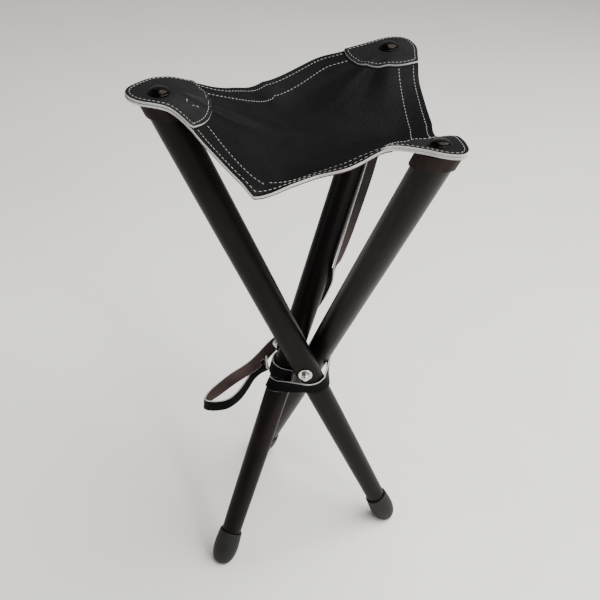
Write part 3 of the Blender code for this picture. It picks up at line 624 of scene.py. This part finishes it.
def make_nut(leg, seat, steel):
    """A hexagon with chamfered corners under a dome."""
    top = seat + NUT_H
    work = bmesh.new()
    rings = []
    for reach, height in ((1.00, seat), (1.00, top - 0.0010), (0.93, top - 0.0002)):
        ring = []
        for angle in turned(96):
            flat = (angle + math.pi / 6.0) % (math.pi / 3.0) - math.pi / 6.0
            radius = reach * NUT_FLATS * min(1.0 / math.cos(flat), 1.115)
            ring.append(work.verts.new((radius * math.cos(angle), radius * math.sin(angle),
                                        height)))
        rings.append(ring)
    rings.insert(0, circle(work, WASHER_BORE_R, seat + 0.0002, 96))
    rings += [circle(work, *spot, 96) for spot in dome(NUT_DOME_R, top, NUT_DOME_H, 8)]
    skin(work, rings)
    work.faces.new(rings[0][::-1])
    return add_piece("domed_nut_" + leg.name, mesh_of(work, "nut", 28.0), [steel],
                     leg.stud_frame)


# ---------------------------------------------------------------- seat

class Corner:
    """A seat corner: the leg's top, the leather's slope there and the directions to work in."""

    def __init__(self, leg):
        self.name = leg.name
        self.top = leg.frame @ Vector((0.0, 0.0, LEG_UPPER))
        self.out = Vector((self.top.x - HUB.x, self.top.y - HUB.y, 0.0)).normalized()
        self.side = Vector((-self.out.y, self.out.x, 0.0))
        self.slope = math.tan(math.radians(CORNER_SLOPE[leg.name]))
        self.roll = math.tan(math.radians(CORNER_ROLL[leg.name]))
        self.normal = (UP - self.out * self.slope + self.side * self.roll).normalized()
        across = self.normal.cross(self.out).normalized()
        self.frame = Matrix((across.cross(self.normal), across,
                             self.normal)).transposed().to_4x4()
        self.frame.translation = self.top

    def plan(self, outwards, sideways):
        """A plan spot near the corner, measured from the leg's top."""
        return (self.top + self.out * outwards + self.side * sideways).xy

    def bend(self, piece):
        """Bakes the piece's place into its mesh."""
        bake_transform(piece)


def edge_middle(pair):
    """The plan spot of an edge's middle."""
    place = EDGE_MIDDLES[pair]
    ray = Vector((math.cos(place["bearing"]), math.sin(place["bearing"])))
    return HUB_PLAN + place["reach"] * ray


def neighbours(name):
    """The two edges that meet at a corner, each as its pair of corners."""
    index = CORNERS.index(name)
    return (CORNERS[index - 1], name), (name, CORNERS[(index + 1) % 3])


def resample(points, count):
    """Evenly spaced points along a line of straight stretches, both ends included."""
    steps = [(b - a).length for a, b in zip(points, points[1:])]
    lengths = np.cumsum([0.0] + steps)
    places = np.linspace(0.0, lengths[-1], count)
    axes = [np.interp(places, lengths, [point[axis] for point in points])
            for axis in range(len(points[0]))]
    return [Vector(values) for values in zip(*axes)]


def catmull(near, share):
    """A smooth curve's point between the two middle ones of four."""
    a, b, c, d = near
    return 0.5 * (2.0 * b + (c - a) * share + (2.0 * a - 5.0 * b + 4.0 * c - d) * share ** 2
                  + (3.0 * b - a - 3.0 * c + d) * share ** 3)


def curve(points, steps):
    """A smooth line through the points, in so many steps between each two."""
    last = len(points) - 1
    line = []
    for index in range(last):
        near = [points[min(max(index + shift, 0), last)] for shift in (-1, 0, 1, 2)]
        line += [catmull(near, step / steps) for step in range(steps)]
    return [*line, points[last]]


def sector_outline(corner, count):
    """The seat's edge round one corner, from one edge's middle to the next."""
    before, after = (edge_middle(pair) for pair in neighbours(corner.name))
    rim = [corner.plan(out / 1000.0, side / 1000.0) for out, side, _ in RIM[corner.name]]
    return resample(curve([before, *rim, after], 12), count)


class Leather:
    """Height of the seat's upper face over its plan: a thin plate bent through the corners,
    the middles of the edges and the middle of the sling, with the creases that pull in from
    the corners."""

    def __init__(self, corners):
        self.corners = corners
        pins = []
        for corner in corners.values():
            for outwards in LEVEL_SPOTS:
                height = corner.top.z + CORNER_RISE + outwards * corner.slope
                pins.append((*corner.plan(outwards, 0.0), height))
            for outwards, sideways, height in RIM[corner.name] + FOLDS.get(corner.name, ()):
                spot = corner.plan(outwards / 1000.0, sideways / 1000.0)
                pins.append((*spot, corner.top.z + height / 1000.0))
            for share, fall in SLING_SAG:
                spot = HUB_PLAN.lerp(corner.plan(0.0, 0.0), share)
                height = corner.top.z + fall * (SEAT_MIDDLE_HEIGHT - corner.top.z)
                pins.append((*spot, height))
        pins.append((*HUB_PLAN, SEAT_MIDDLE_HEIGHT))
        out, share, sag = EDGE_SAG
        for pair, place in EDGE_MIDDLES.items():
            spot = edge_middle(pair)
            pins.append((*spot, place["height"]))
            height = share * place["height"] + (1.0 - share) * SEAT_MIDDLE_HEIGHT - sag
            pins.append((*HUB_PLAN.lerp(spot, out), height))
        self.spots = np.array([pin[:2] for pin in pins])
        count = len(pins)
        system = np.zeros((count + 3, count + 3))
        system[:count, :count] = self.plate(self.spots)
        system[:count, count:] = np.c_[np.ones(count), self.spots]
        system[count:, :count] = system[:count, count:].T
        wanted = np.r_[[pin[2] for pin in pins], 0.0, 0.0, 0.0]
        self.weights = np.linalg.solve(system, wanted)

    def plate(self, spots):
        """How each pin bends the plate at each spot."""
        squared = ((spots[:, None] - self.spots[None]) ** 2).sum(axis=2)
        return 0.5 * squared * np.log(np.maximum(squared, 1e-12))

    def heights(self, spots):
        spots = np.array([tuple(spot) for spot in spots])
        basis = np.c_[self.plate(spots), np.ones(len(spots)), spots]
        return basis @ self.weights + self.creases(spots)

    def creases(self, spots):
        """Soft ridges and hollows that fan out from each corner towards the sling's middle."""
        total = np.zeros(len(spots))
        for corner in self.corners.values():
            away = spots - np.array(corner.plan(0.0, 0.0))
            inward = -away @ np.array(corner.out.xy)
            across = away @ np.array(corner.side.xy)
            angle = np.arctan2(across, np.maximum(inward, 0.001))
            fade = (np.clip((inward - CREASE_START) / CREASE_RISE, 0.0, 1.0)
                    * np.clip((CREASE_END - inward) / CREASE_FALL, 0.0, 1.0))
            for turn, width, height in CREASES[corner.name]:
                shape = np.exp(-((angle - math.radians(turn)) / math.radians(width)) ** 2)
                total += height * shape * fade
        return total

    def points(self, spots, lower=0.0):
        """Points of the upper face, or as far as lower under it."""
        return [Vector((*spot, height - lower)) for spot, height in zip(spots, self.heights(spots))]

    def normals(self, spots):
        """The upper face's own normals, from its slopes either way."""
        reach = 0.0004
        spots = np.array([tuple(spot) for spot in spots])
        slopes = [(self.heights(spots + shift) - self.heights(spots - shift)) / (2.0 * reach)
                  for shift in (np.array([reach, 0.0]), np.array([0.0, reach]))]
        normal = np.stack([-slopes[0], -slopes[1], np.ones(len(spots))], axis=1)
        return normal / np.linalg.norm(normal, axis=1, keepdims=True)


def hide_panel(name, leather, rows, thickness, lower=0.0, closed=False):
    """A panel of leather over rows of plan spots, the first row its cut edge: grain side up
    (material 0), rounded raw edge (1), flesh side below (2)."""
    points = np.array([[tuple(spot) for spot in leather.points(row, lower)] for row in rows])
    normal = np.array([leather.normals(row) for row in rows])
    outward = points[0] - points[1]
    outward -= (outward * normal[0]).sum(axis=1, keepdims=True) * normal[0]
    outward /= np.linalg.norm(outward, axis=1, keepdims=True)
    layers = [(points[row], normal[row], 0) for row in reversed(range(len(rows)))]
    bevel = 0.18 * thickness
    for out, drop, kind in ((0.6 * bevel, 0.25 * bevel, 0), (bevel, bevel, 1),
                            (1.2 * bevel, thickness / 2, 1), (bevel, thickness - bevel, 1),
                            (0.4 * bevel, thickness, 1)):
        layers.append((points[0] + outward * out - normal[0] * drop, (), kind))
    layers += [(points[row] - normal[row] * thickness, -normal[row], 2)
               for row in range(len(rows))]
    work = bmesh.new()
    plan = work.loops.layers.uv.new("plan")
    known = work.verts.layers.float_vector.new("known_normal")
    rings = []
    for spots, normals, _ in layers:
        ring = [work.verts.new(tuple(spot)) for spot in spots]
        for vert, direction in zip(ring, normals):
            vert[known] = tuple(direction)
        rings.append(ring)
    count = len(rings[0])
    for upper, under, (_, _, kind) in zip(rings, rings[1:], layers[1:]):
        for i in range(count if closed else count - 1):
            j = (i + 1) % count
            face = work.faces.new((upper[i], upper[j], under[j], under[i]))
            face.material_index = kind
            face.smooth = True
            for loop in face.loops:
                loop[plan].uv = loop.vert.co.xy
    if not closed:
        close_ends(work, rings, len(rows))
    bmesh.ops.remove_doubles(work, verts=work.verts, dist=0.00003)
    bmesh.ops.dissolve_degenerate(work, edges=work.edges, dist=0.00003)
    bmesh.ops.recalc_face_normals(work, faces=work.faces)
    top = max(work.faces, key=lambda face: face.calc_center_median().z)
    if top.normal.z < 0.0:
        bmesh.ops.reverse_faces(work, faces=work.faces)
    mesh = bpy.data.meshes.new(name)
    work.to_mesh(mesh)
    work.free()
    set_known_normals(mesh)
    return mesh


def close_ends(work, layers, depth):
    """Walls at a panel's two ends, between its upper and lower face."""
    for end in (0, -1):
        line = [layer[end] for layer in layers]
        for row in range(depth - 1):
            work.faces.new((line[row], line[row + 1], line[-row - 2], line[-row - 1]))
        work.faces.new(line[depth - 1:len(line) - depth + 1])


def set_known_normals(mesh):
    """Uses the surface's own normals, so that neighbouring panels shade as one sheet."""
    values = np.zeros(len(mesh.vertices) * 3, np.float32)
    mesh.attributes["known_normal"].data.foreach_get("vector", values)
    values = values.reshape(-1, 3)
    loops = [tuple(values[loop.vertex_index]) for loop in mesh.loops]
    mesh.normals_split_custom_set(loops)
    mesh.attributes.remove(mesh.attributes["known_normal"])


def inwards(spots, distance):
    """Plan spots moved towards the sling's middle."""
    return [spot.lerp(HUB_PLAN, distance / (spot - HUB_PLAN).length) for spot in spots]


def make_seat_sector(corner, leather, finishes, brown):
    """A third of the sling, from its middle out to one corner."""
    outline = sector_outline(corner, SECTOR_COLUMNS)
    rows = []
    for step in range(SEAT_ROWS + 1):
        share = 1.0 - math.sin(math.pi / 2.0 * (1.0 - step / SEAT_ROWS)) ** 0.9
        rows.append([spot.lerp(HUB_PLAN, share) for spot in outline])
    mesh = hide_panel("seat_panel", leather, rows, LEATHER)
    panel = add_piece("seat_panel_" + corner.name, mesh, finishes)
    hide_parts("seat_leather")
    return panel, make_hem_halves(corner, leather, outline, brown)


def in_patch(corner, spot, margin):
    """Whether a plan spot lies under the patch's round end, widened by a margin."""
    outwards, sideways, radius = PATCH_END[corner.name]
    return (spot - corner.plan(outwards, sideways)).length < radius + margin


def make_hem_halves(corner, leather, outline, brown):
    """The strips sewn under the two edges that meet at a corner, each up to its middle."""
    halves = []
    middle = len(outline) // 2
    for pair, run in zip(neighbours(corner.name), (outline[:middle], outline[middle:])):
        run = [spot for spot in run if not in_patch(corner, spot, -HEM_LAP)]
        rows = [inwards(run, distance) for distance in HEM_INSETS]
        mesh = hide_panel("hem", leather, rows, HEM_LEATHER, lower=LEATHER + LAYER_GAP)
        name = "hem_{}_{}_at_{}".format(*pair, corner.name)
        half = add_piece(name, mesh, [brown, brown, brown])
        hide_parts("edge_strip_{}_{}".format(*pair))
        halves.append(half)
    return halves


def patch_outline(corner, inset):
    """The corner patch's plan: the seat's own edge, cut off inwards by a round end."""
    outline = sector_outline(corner, 5 * PATCH_COLUMNS + 1)
    middle = corner.plan(PATCH_MIDDLE, 0.0)
    outwards, sideways, radius = PATCH_END[corner.name]
    from_arc = middle - corner.plan(outwards, sideways)
    spots = np.array([tuple(spot - middle) for spot in outline])
    bearings = np.unwrap(np.arctan2(spots[:, 1], spots[:, 0]))
    reaches = np.linalg.norm(spots, axis=1)
    made = []
    for angle in turned(PATCH_COLUMNS):
        bearing = bearings[0] + (angle - bearings[0]) % (2.0 * math.pi)
        to_rim = np.interp(bearing, bearings, reaches, right=1.0)
        ray = Vector((math.cos(angle), math.sin(angle)))
        along = from_arc.dot(ray)
        to_arc = math.sqrt(along ** 2 + radius ** 2 - from_arc.length_squared) - along
        made.append(middle + ray * min(to_rim, to_arc))
    return drawn_in(made, inset)


def drawn_in(outline, inset):
    """A closed outline moved inwards, square to itself."""
    count = len(outline)
    made = []
    for index, spot in enumerate(outline):
        along = outline[(index + 2) % count] - outline[index - 2]
        made.append(spot + Vector((-along.y, along.x)).normalized() * inset)
    return made


def make_patch(corner, leather, finishes):
    """The second leather layer on a corner."""
    outline = patch_outline(corner, PATCH_INSET)
    middle = corner.plan(PATCH_MIDDLE, 0.0)
    rows = [[spot.lerp(middle, share) for spot in outline] for share in PATCH_ROWS]
    mesh = hide_panel("patch", leather, rows, PATCH_LEATHER, lower=-PATCH_LEATHER - LAYER_GAP,
                      closed=True)
    patch = add_piece("patch_" + corner.name, mesh, finishes)
    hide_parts("corner_patch_" + corner.name)
    return patch


def even_steps(points, pitch):
    """Points along a line at about a pitch."""
    length = sum((b - a).length for a, b in zip(points, points[1:]))
    return resample(points, max(2, round(length / pitch) + 1))


def edge_row(corner, pair, inset):
    """A stitch row along one half of an edge, parallel to it, from the patch to the middle."""
    outline = sector_outline(corner, STITCH_SAMPLES)
    centre = STITCH_SAMPLES // 2
    turn = 1.0 if pair[0] == corner.name else -1.0
    half = outline[centre:] if turn > 0.0 else outline[centre::-1]
    to_middle = (edge_middle(pair) - HUB_PLAN).normalized()
    run, short_of = [], -1.0
    for index, spot in enumerate(half):
        along = half[min(index + 3, len(half) - 1)] - half[max(index - 3, 0)]
        moved = spot + Vector((-along.y, along.x)).normalized() * inset * turn
        before, short_of = short_of, turn * to_middle.cross(moved - HUB_PLAN)
        if short_of > 0.0:
            run.append(run[-1].lerp(moved, before / (before - short_of)))
            break
        if not in_patch(corner, moved, STITCH_CLEAR):
            run.append(moved)
    return even_steps(run, STITCH_PITCH)


def stitch_row(work, leather, row, lift, closed=False):
    """Thread that dips into the leather between stitches, each stitch a little arched."""
    spots = leather.points(row, -lift)
    normals = leather.normals(row)
    count = len(spots)
    for index in range(count if closed else count - 1):
        first, last = spots[index], spots[(index + 1) % count]
        along = last - first
        up = Vector(normals[index])
        across = up.cross(along).normalized()
        sway = across * draw.uniform(-STITCH_SWAY, STITCH_SWAY)
        first, last = first + along * STITCH_END + sway, last - along * STITCH_END - sway
        rings = []
        for share in (0.0, 0.25, 0.5, 0.75, 1.0):
            bow = math.sin(math.pi * share)
            middle = first.lerp(last, share) + up * (bow * STITCH_ARCH - STITCH_DIP)
            radius = THREAD_R * (0.45 + 0.55 * bow ** 0.5)
            rings.append([work.verts.new(middle + radius * (math.cos(a) * across
                                                           + math.sin(a) * up))
                          for a in turned(6)])
        skin(work, rings)
        work.faces.new(rings[0][::-1])
        work.faces.new(rings[-1])


def make_stitches(corner, leather, thread):
    """All the thread on a sector: along its edges, round its patch and any loose stitches."""
    work = bmesh.new()
    for pair in neighbours(corner.name):
        for inset in STITCH_INSETS:
            stitch_row(work, leather, edge_row(corner, pair, inset), 0.0001)
    outline = patch_outline(corner, PATCH_STITCH_INSET)
    outline.append(outline[0])
    round_row = even_steps(outline, STITCH_PITCH)[:-1]
    stitch_row(work, leather, round_row, PATCH_LEATHER + 0.0002, closed=True)
    for stray in STRAY_STITCHES.get(corner.name, ()):
        row = [corner.plan(*spot) for spot in stray]
        stitch_row(work, leather, row, PATCH_LEATHER + 0.0003)
    return add_piece("stitching_" + corner.name, mesh_of(work, "stitches"), [thread])


def make_collar(corner, leg, leather, brown):
    """The brown leather collar round a leg's top, its lower edge cut to the seat's slope."""
    inner = leg_radius(LEG_UPPER) + 0.0003
    outer = inner + COLLAR_LEATHER
    normal = leg.turn_into(corner.normal)
    top = leg.into(corner.top)
    section = rounded([(inner, 1.0), (outer, 1.0), (outer, 0.0), (inner, 0.0), (inner, 1.0)],
                      0.0006, 3)
    work = bmesh.new()
    columns = []
    for angle in turned(96):
        ray = Vector((math.cos(angle), math.sin(angle), 0.0))
        ragged = 0.0006 * math.sin(5.0 * angle + 0.7) + 0.0004 * math.sin(13.0 * angle)
        ripple = 0.0002 * math.sin(7.0 * angle) + 0.0002 * math.sin(11.0 * angle + 1.0)
        column = []
        for radius, share in section[:-1]:
            depth = -0.0008 - (1.0 - share) * (COLLAR_H + ragged)
            spot = ray * (radius + (ripple if radius > inner + 0.001 else 0.0))
            height = top.z + (depth - normal.x * (spot.x - top.x)
                              - normal.y * (spot.y - top.y)) / normal.z
            point = leg.frame @ Vector((spot.x, spot.y, height))
            if share > 0.5:
                under = leather.heights([point.xy])[0] - LEATHER - 0.0006
                height += max(0.0, (under - point.z) * leg.up.z)
            column.append(work.verts.new((spot.x, spot.y, height)))
        columns.append(column)
    skin(work, [*columns, columns[0]])
    bmesh.ops.remove_doubles(work, verts=work.verts, dist=0.00002)
    piece = add_piece("collar_" + corner.name, mesh_of(work, "collar"), [brown],
                      leg.frame)
    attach(piece, "leg_" + corner.name)
    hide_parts("leg_cap_" + corner.name)


def make_seat_screw(corner, bronze):
    """A wide domed head with a thin turned rim."""
    base, rim = SCREW_BASE, SCREW_R
    profile = [(0.0, base), (rim - 0.0004, base), (rim, base + 0.0004),
               (rim - 0.0001, base + 0.0010), (rim - 0.0008, base + 0.0015),
               (SCREW_DOME_R + 0.0004, base + 0.0014)]
    profile += dome(SCREW_DOME_R, base + 0.0015, SCREW_H - 0.0014, 12)
    piece = add_piece("seat_screw_" + corner.name, mesh_of(spin(profile, 72), "screw", 50.0),
                      [bronze], corner.frame)
    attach(piece, "leg_" + corner.name)
    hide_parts("seat_stud_" + corner.name)


# ---------------------------------------------------------------- ring and strap

def smooth_route(count):
    """Points in the frame and facings of the flesh side, evenly along the strap."""
    steps = 30
    fine = curve([Vector(place) for place, _ in STRAP_ROUTE], steps)
    faces = [Vector(face).normalized() for _, face in STRAP_ROUTE]
    facing = [a.lerp(b, step / steps) for a, b in zip(faces, faces[1:]) for step in range(steps)]
    facing.append(faces[-1])
    lengths = np.cumsum([0.0] + [(b - a).length for a, b in zip(fine, fine[1:])])
    places = np.linspace(0.0, lengths[-1], count)
    both = [np.interp(places, lengths, [(*a, *b)[axis] for a, b in zip(fine, facing)])
            for axis in range(6)]
    joined = list(zip(*both))
    return ([HUB + Vector(v[:3]) for v in joined], [Vector(v[3:]).normalized() for v in joined],
            float(lengths[-1]))


def strap_section():
    """The strap's section, from its flesh side (2) over a raw edge (1) to its grain side (0)
    and back, with the material of each stretch."""
    half, thick = STRAP_WIDTH / 2.0, STRAP_LEATHER / 2.0
    flesh = [(x * half, thick) for x in (-0.95, -0.6, -0.2, 0.2, 0.6, 0.95)]
    right = [(half, thick * 0.72), (half * 1.01, 0.0), (half, -thick * 0.72)]
    points = flesh + right
    points += [(-x, -y) for x, y in points]
    return points, [2] * 5 + [1] * 4 + [0] * 5 + [1] * 4


def band(name, points, faces, section, kinds):
    """A flat band swept along points, its local second direction facing along faces."""
    work = bmesh.new()
    along_uv = work.loops.layers.uv.new("plan")
    rings, places, total = [], [], 0.0
    last = len(points) - 1
    for index, point in enumerate(points):
        ahead, behind = points[min(index + 1, last)], points[max(index - 1, 0)]
        along = (ahead - behind).normalized()
        out = (faces[index] - along * faces[index].dot(along)).normalized()
        across = along.cross(out)
        rings.append([work.verts.new(point + across * x + out * y) for x, y in section])
        places.append(total)
        total += (ahead - point).length
    for index in range(last):
        here, following = rings[index], rings[index + 1]
        for i, kind in enumerate(kinds):
            j = (i + 1) % len(kinds)
            face = work.faces.new((here[i], here[j], following[j], following[i]))
            face.material_index = kind
            for loop, (step, side) in zip(face.loops, ((0, i), (0, j), (1, j), (1, i))):
                loop[along_uv].uv = (places[index + step], section[side][0])
    for ring in (rings[0][::-1], rings[-1]):
        work.faces.new(ring).material_index = 1
    return mesh_of(work, name, 50.0)


def make_strap(finishes):
    """The carry strap, as one cord, baked in place."""
    points, faces, length = smooth_route(STRAP_POINTS)
    section, kinds = strap_section()
    strap = add_piece("strap", band("strap", points, faces, section, kinds), finishes)
    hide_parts("carry_strap")
    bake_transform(strap)
    return points, faces


def make_rivet(name, node, body, place, bronze):
    """A small domed head on the strap."""
    profile = [(0.0, 0.0), (0.0040, 0.0), (0.0043, 0.0003), *dome(0.0041, 0.0004, 0.0015, 8)]
    piece = add_piece(name, mesh_of(spin(profile, 40), name), [bronze], place)
    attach(piece, body)
    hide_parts(node)


def make_strap_fixings(points, faces, bronze):
    """The nail at the strap's upper end and the rivet at its lower one."""
    inset = round(STRAP_FIXING / (points[1] - points[0]).length)
    for name, node, body, index, turn in (
            ("strap_nail_head", "strap_nail", "leg_rear", inset, 1.0),
            ("ring_rivet_head", "ring_rivet", "hub", len(points) - 1 - inset, -1.0)):
        along = (points[index + 1] - points[index - 1]).normalized()
        out = (faces[index] - along * faces[index].dot(along)).normalized() * turn
        place = out.to_track_quat("Z", "Y").to_matrix().to_4x4()
        place.translation = points[index] + out * (STRAP_LEATHER / 2.0 + 0.0001)
        make_rivet(name, node, body, place, bronze)


def ring_arcs(legs, depth, radius):
    """A band drawn tight round the three legs at one depth: an arc on each leg, as points and
    the directions that they face, square to the leg."""
    side = HUB_UP.cross(legs["left"].stud)
    axes = Matrix((legs["left"].stud, side, HUB_UP)).transposed()
    centres = {}
    for name, leg in legs.items():
        spot = leg.middle - leg.up * depth / leg.up.dot(HUB_UP) - HUB
        centres[name] = (axes.inverted() @ spot).xy
    arcs = {}
    for name in CORNERS:
        ways = []
        for start, end in neighbours(name):
            edge = centres[end] - centres[start]
            ways.append(math.atan2(-edge.x, edge.y))
        sweep = (ways[1] - ways[0]) % (2.0 * math.pi)
        lean = (axes.inverted() @ legs[name].up).xy.normalized()
        squash = legs[name].up.dot(HUB_UP) ** -2 - 1.0
        arcs[name] = []
        for step in range(RING_STEPS + 1):
            angle = ways[0] + sweep * step / RING_STEPS
            ray = Vector((math.cos(angle), math.sin(angle)))
            pull = ray + lean * (squash * ray.dot(lean))
            spot = centres[name] + pull * (radius / math.sqrt(ray.dot(pull)))
            facing = axes @ Vector((*ray, 0.0))
            facing -= legs[name].up * facing.dot(legs[name].up)
            arcs[name].append((HUB + axes @ Vector((*spot, -depth)), facing.normalized()))
    return arcs


def between(first, second, share):
    """A share of the way from one point and facing to another."""
    return tuple(a.lerp(b, share) for a, b in zip(first, second))


def ring_runs(legs, radius):
    """The ring's stretch on each leg. It starts low on the rear leg, climbs across the left
    leg, goes round, and ends above its own start, tucked in beside the left leg."""
    middle = RING_TOP + RING_HEIGHT / 2.0
    arcs = ring_arcs(legs, middle, radius)
    low = ring_arcs(legs, middle + RING_SINK, radius)
    sunk, reach = RING_CLIMB
    climb = []
    for step, (here, below) in enumerate(zip(arcs["left"], low["left"])):
        share = max(0.0, 1.0 - step / (reach * RING_STEPS))
        climb.append(between(here, below, sunk * share))
    to_right = between(arcs["left"][-1], arcs["right"][0], 0.5)
    to_rear = between(arcs["right"][-1], arcs["rear"][0], 0.5)
    tail = []
    for share, depth in RING_TUCK:
        point, facing = between(arcs["rear"][-1], arcs["left"][0], share)
        tail.append((point - facing * depth, facing))
    return {"left": [*low["rear"][RING_START:], *climb, to_right],
            "right": [to_right, *arcs["right"], to_rear],
            "rear": [to_rear, *arcs["rear"], *tail]}


def make_ring(legs, finishes):
    """The leather ring, in three stretches, one round each leg, baked in place."""
    half, thick = RING_HEIGHT / 2.0, RING_LEATHER / 2.0
    radius = leg_radius(-RING_TOP) + thick + RING_GAP
    section = [(-half * 0.96, thick), (0.0, thick * 1.08), (half * 0.96, thick),
               (half, thick * 0.5), (half, -thick * 0.5), (half * 0.96, -thick),
               (0.0, -thick), (-half * 0.96, -thick), (-half, -thick * 0.5),
               (-half, thick * 0.5)]
    kinds = [0, 0, 1, 1, 1, 2, 2, 1, 1, 1]
    for name, run in ring_runs(legs, radius).items():
        dense = []
        for here, ahead in zip(run, run[1:]):
            parts = max(1, round((ahead[0] - here[0]).length / RING_PITCH))
            dense += [between(here, ahead, step / parts) for step in range(parts)]
        dense.append(run[-1])
        points = [point for point, _ in dense]
        faces = [facing.normalized() for _, facing in dense]
        piece = add_piece("ring_band_" + name, band("ring", points, faces, section, kinds),
                          finishes)
        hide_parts("ring_strap")
        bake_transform(piece)


# ---------------------------------------------------------------- the whole stool

def declare_sheet(corner):
    """The sector's plan outline with the sling's middle, worked out and not used."""
    outline = [*sector_outline(corner, SECTOR_COLUMNS), HUB_PLAN]


def main():
    make_camera()
    legs = {name: Leg(name) for name in CORNERS}
    corners = {name: Corner(leg) for name, leg in legs.items()}
    edge = raw_edge()
    strap_finishes = [black_leather("strap_grain"), raw_edge("strap_edge", 1.1),
                      strap_flesh()]
    bronze = dark_bronze()
    points, faces = make_strap(strap_finishes)
    make_studio()
    wood, rubber, steel = stained_wood(), moulded_rubber(), bright_steel()
    brown = flesh_side("collar_leather", (0.0080, 0.0056, 0.0050), (0.0190, 0.0120, 0.0100), 0.7)
    for name, leg in legs.items():
        make_leg(leg, corners[name], wood)
        make_foot(leg, rubber)
        make_stud_hardware(leg, steel)
    bolt = frame["nodes"]["tripod_bolt"]
    bolt.data.materials.clear()
    bolt.data.materials.append(steel)
    leather = Leather(corners)
    hide = [black_leather("seat_grain"), edge,
            flesh_side("seat_flesh", (0.070, 0.034, 0.029), (0.110, 0.058, 0.050))]
    # Painted light: the patches' leather is coloured lighter than the seat's (tone 1.0 against
    # 0.72), for the light they catch where they face the lamps.
    doubled = [black_leather("patch_grain", specular=0.07, tone=1.0), edge, brown]
    hem = flesh_side("hem_leather", (0.060, 0.030, 0.026), (0.100, 0.052, 0.046))
    thread = waxed_thread()
    for name, corner in corners.items():
        panel, strips = make_seat_sector(corner, leather, hide, hem)
        patch = make_patch(corner, leather, doubled)
        stitches = make_stitches(corner, leather, thread)
        for piece in (panel, *strips, patch, stitches):
            corner.bend(piece)
        make_collar(corner, legs[name], leather, brown)
        make_seat_screw(corner, bronze)
        declare_sheet(corner)
    make_ring(legs, [black_leather("ring_grain"), edge, brown])
    make_strap_fixings(points, faces, bronze)


main()
